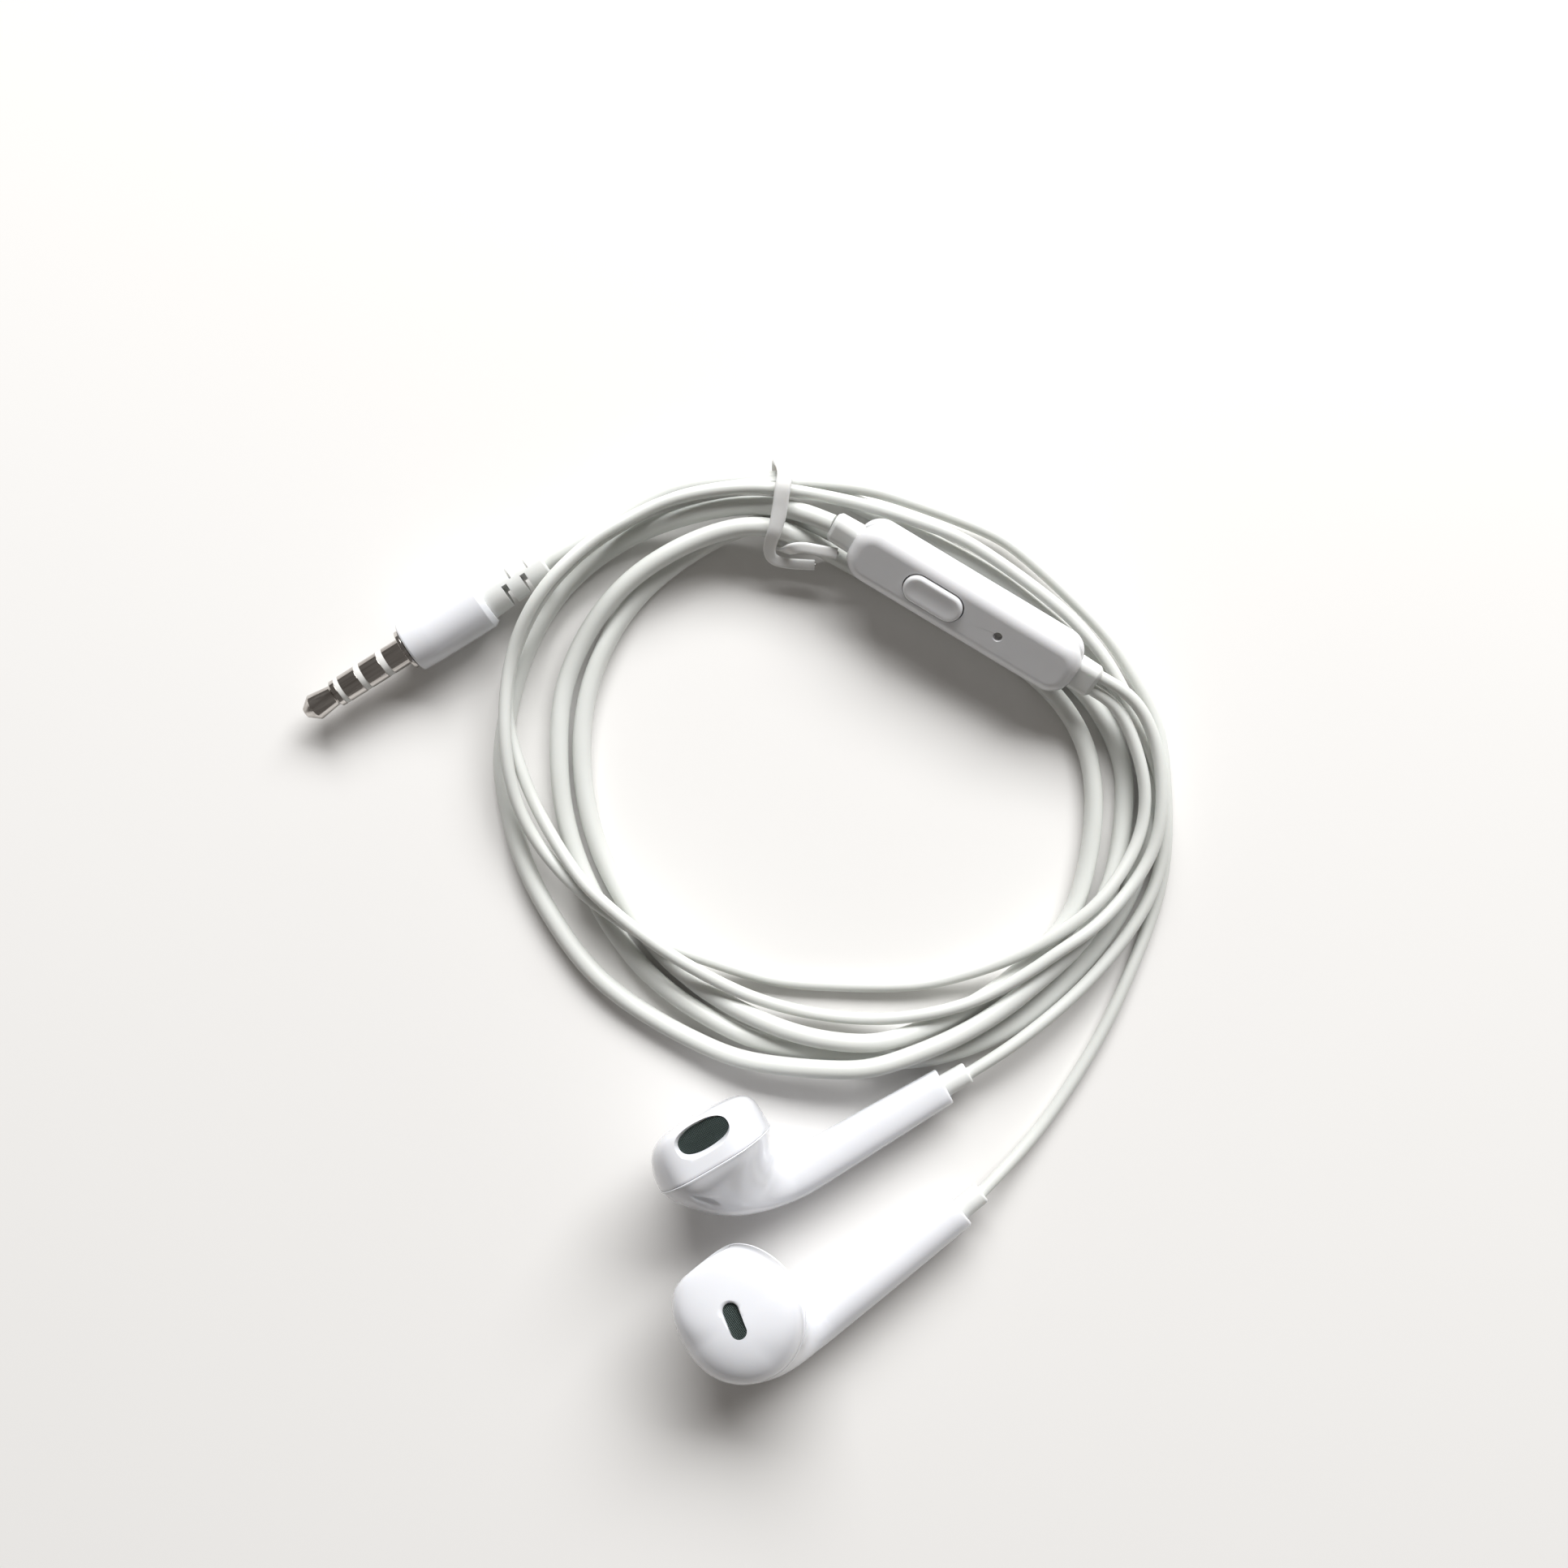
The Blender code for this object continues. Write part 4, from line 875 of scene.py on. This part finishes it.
def vent_pill(profile, hand):
    """The vent slot's outline stacked by a profile."""
    bm = lofted_pill(VENT_SIZE, profile)
    turn = Matrix.Rotation(math.radians(hand * VENT_TURN), 4, "Z")
    bm.transform(Matrix.Translation((VENT_MIDDLE[0], hand * VENT_MIDDLE[1], 0.0)) @ turn)
    return bm


def facing_port(hand, sunk):
    """What takes a flat shape into the plane of the port's facet, or a little below it."""
    across = Matrix.Rotation(math.radians(-90 * hand), 4, "X")
    reach = FACET_REACH - PORT_SINK - sunk
    return Matrix.Translation((PORT_MIDDLE[0], hand * reach, PORT_MIDDLE[1])) @ across


def sound_meshes(side, axes, hand, looks):
    """The dark weaves set into the sound port and the vent slot, a little domed."""
    size = [value - 2 * PORT_SLOPE + 0.1 for value in PORT_SIZE]
    crown = ((-0.25, 0.0), (-0.02, 0.0), (0.0, 0.3), (0.06, 0.9), (0.1, 1.5))
    port = lofted_oval(size, PORT_ROUNDNESS, crown)
    port.transform(facing_port(hand, PORT_DEPTH - 0.05))
    add_weave("port_weave_" + side, port, axes, looks, "port_mesh_" + side, 2)
    top = SEAM / 2 + DOME_HEIGHT - VENT_DEPTH
    vent = vent_pill(((top - 0.2, -0.05), (top, -0.05), (top + 0.04, 0.5)), hand)
    add_weave("vent_weave_" + side, vent, axes, looks, "vent_mesh_" + side, 1)


def add_weave(name, bm, axes, looks, node_name, second):
    """A weave piece, laid out by x and the second axis that its face runs along."""
    layout = bm.loops.layers.uv.new("weave")
    for face in bm.faces:
        for loop in face.loops:
            point = loop.vert.co
            loop[layout].uv = (point[0], point[second])
    add_piece(name, bm, axes, looks["mesh"], [node_name])


def rear_ring(section, inset):
    """One oval of the rear shell; the inset moves it inwards."""
    back_s, back_f, front_s, front_f, p_low, p_high, full = section
    middle = Vector(((back_s + front_s) / 2, (back_f + front_f) / 2))
    half = Vector(((front_s - back_s) / 2, (front_f - back_f) / 2))
    half = half * (1 - inset / half.length)
    p_middle = (p_low + p_high) / 2
    p_half = (p_high - p_low) / 2 - inset
    ring = []
    for i in range(HEAD_SEGMENTS):
        turn = math.tau * i / HEAD_SEGMENTS
        swell = 1 + full * FACET_FULLNESS / HEAD_RADIUS * facet_fullness(turn)
        across = middle + half * swell * math.cos(turn)
        p = p_middle + soft_least(p_half * swell * math.sin(turn), p_half)
        ring.append((across.x, p, across.y - SEAM / 2))
    return ring


def rear_shell(side, axes, hand, looks):
    """The rear half of the head, running on into the stem and its mouth."""
    sections = [(*back, *front, *reach, full) for back, front, reach, full in REAR_SECTIONS]
    line = smooth_line(sections, SECTION_STEPS)
    rings = [rear_ring(section, 0.0) for section in line]
    matched = head_ring(0.0, 0.0)
    change = [Vector((a[0] - b[0], a[1] - b[1])) for a, b in zip(matched, rings[0])]
    for row in range(MATCHED_ROWS):
        share = math.cos(math.pi / 2 * row / MATCHED_ROWS) ** 2
        rings[row] = [(s + share * by.x, p + share * by.y, f)
                      for (s, p, f), by in zip(rings[row], change)]
    first = rings[0]
    rim = [shrunk(first, RIM_FLAT)]
    for angle in (0, 22, 45, 67, 90):
        turn = math.radians(angle)
        ring = shrunk(first, RIM_ROUND * (1 - math.sin(turn)))
        rim.append([(s, p, f - RIM_ROUND * (1 - math.cos(turn))) for s, p, f in ring])
    rings = [ring for ring in rings if ring[0][2] < first[0][2] - RIM_ROUND * 1.2]
    last = line[-1]
    rounded = []
    for angle in (30, 60, 90):
        turn = math.radians(angle)
        ring = rear_ring(last, STEM_ROUND * (1 - math.cos(turn)))
        rounded.append([(s + STEM_ROUND * math.sin(turn), p, f) for s, p, f in ring])
    p, f = STEM_AXIS
    turns = [math.tau * i / HEAD_SEGMENTS for i in range(HEAD_SEGMENTS)]
    mouth = [[(last[0] + depth, p + radius * math.sin(a), f + radius * math.cos(a)) for a in turns]
             for radius, depth in STEM_MOUTH]
    bm = skin(mirrored(rim + rings + rounded + mouth, hand))
    add_piece("rear_bowl_" + side, bm, axes, looks["shell"],
              ["rear_shell_" + side], sharp=60)


def stem_sleeve(side, axes, hand, looks):
    """The soft sleeve that the thin cord leaves the stem through."""
    start, end = SLEEVE_SPAN
    corners = ((start - 1.5, 0.0, 0), (start - 1.5, SLEEVE_RADIUS, 0.05),
               (end, SLEEVE_RADIUS - 0.04, 0.3), (end, 0.0, 0))
    place = along_x(axes, 0.0, hand * STEM_AXIS[0], STEM_AXIS[1] - SEAM / 2)
    add_piece("stem_sleeve_" + side, turned(filleted(corners), 64), place, looks["relief"],
              ["cord_sleeve_" + side])


def earphone(side, lie, looks):
    """One earphone where it lies; both hands share the same shapes."""
    hand = lie["hand"]
    axes = frame_from(lie["middle"], lie["stem"], [hand * value for value in lie["port"]])
    front_shell(side, axes, hand, looks)
    sound_meshes(side, axes, hand, looks)
    rear_shell(side, axes, hand, looks)
    stem_sleeve(side, axes, hand, looks)


# Studio

def key_light():
    """One large soft light from beyond the top of the coil."""
    lamp = bpy.data.lights.new("key", "AREA")
    lamp.shape = "RECTANGLE"
    lamp.size, lamp.size_y = KEY_SIZE
    lamp.energy = KEY_POWER
    holder = add_object("key", lamp)
    holder.location = KEY_PLACE
    way = Vector(KEY_AIM) - Vector(KEY_PLACE)
    holder.rotation_euler = way.to_track_quat("-Z", "Y").to_euler()


def studio(looks):
    """A pale floor, the key light and a low even fill."""
    mesh = bpy.data.meshes.new("floor")
    far = FLOOR_REACH
    corners = [(-far, -far, 0), (far, -far, 0), (far, far, 0), (-far, far, 0)]
    mesh.from_pydata(corners, [], [(0, 1, 2, 3)])
    mesh.materials.append(looks["floor"])
    floor = add_object("floor", mesh)
    key_light()
    world = bpy.data.worlds.new("fill")
    world.use_nodes = True
    sky = world.node_tree.nodes["Background"]
    sky.inputs["Color"].default_value = FILL_COLOUR
    sky.inputs["Strength"].default_value = FILL
    bpy.context.scene.world = world
    bpy.context.scene.view_settings.view_transform = "Standard"


def main():
    """Everything in turn: the cords and the camera first, then the rest of the part and the studio."""
    looks = make_finishes()
    add_camera()
    lead, lead_line = add_cord("lead_cord", MAIN_ROUTE, MAIN_DIAMETER, MAIN_POINTS, looks["cord"])
    right, right_line = add_cord("thin_cord_right", RIGHT_ROUTE, BRANCH_DIAMETER, BRANCH_POINTS,
                                 looks["cord"])
    left, left_line = add_cord("thin_cord_left", LEFT_ROUTE, BRANCH_DIAMETER, BRANCH_POINTS,
                               looks["cord"])
    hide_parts("main_cord")
    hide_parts("right_cord")
    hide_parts("left_cord")
    plug_parts = plug(looks)
    tie = tie_band(looks)
    remote(looks)
    for side, lie in EARPHONES.items():
        earphone(side, lie, looks)
    dress_inner_nodes(looks)
    studio(looks)


main()
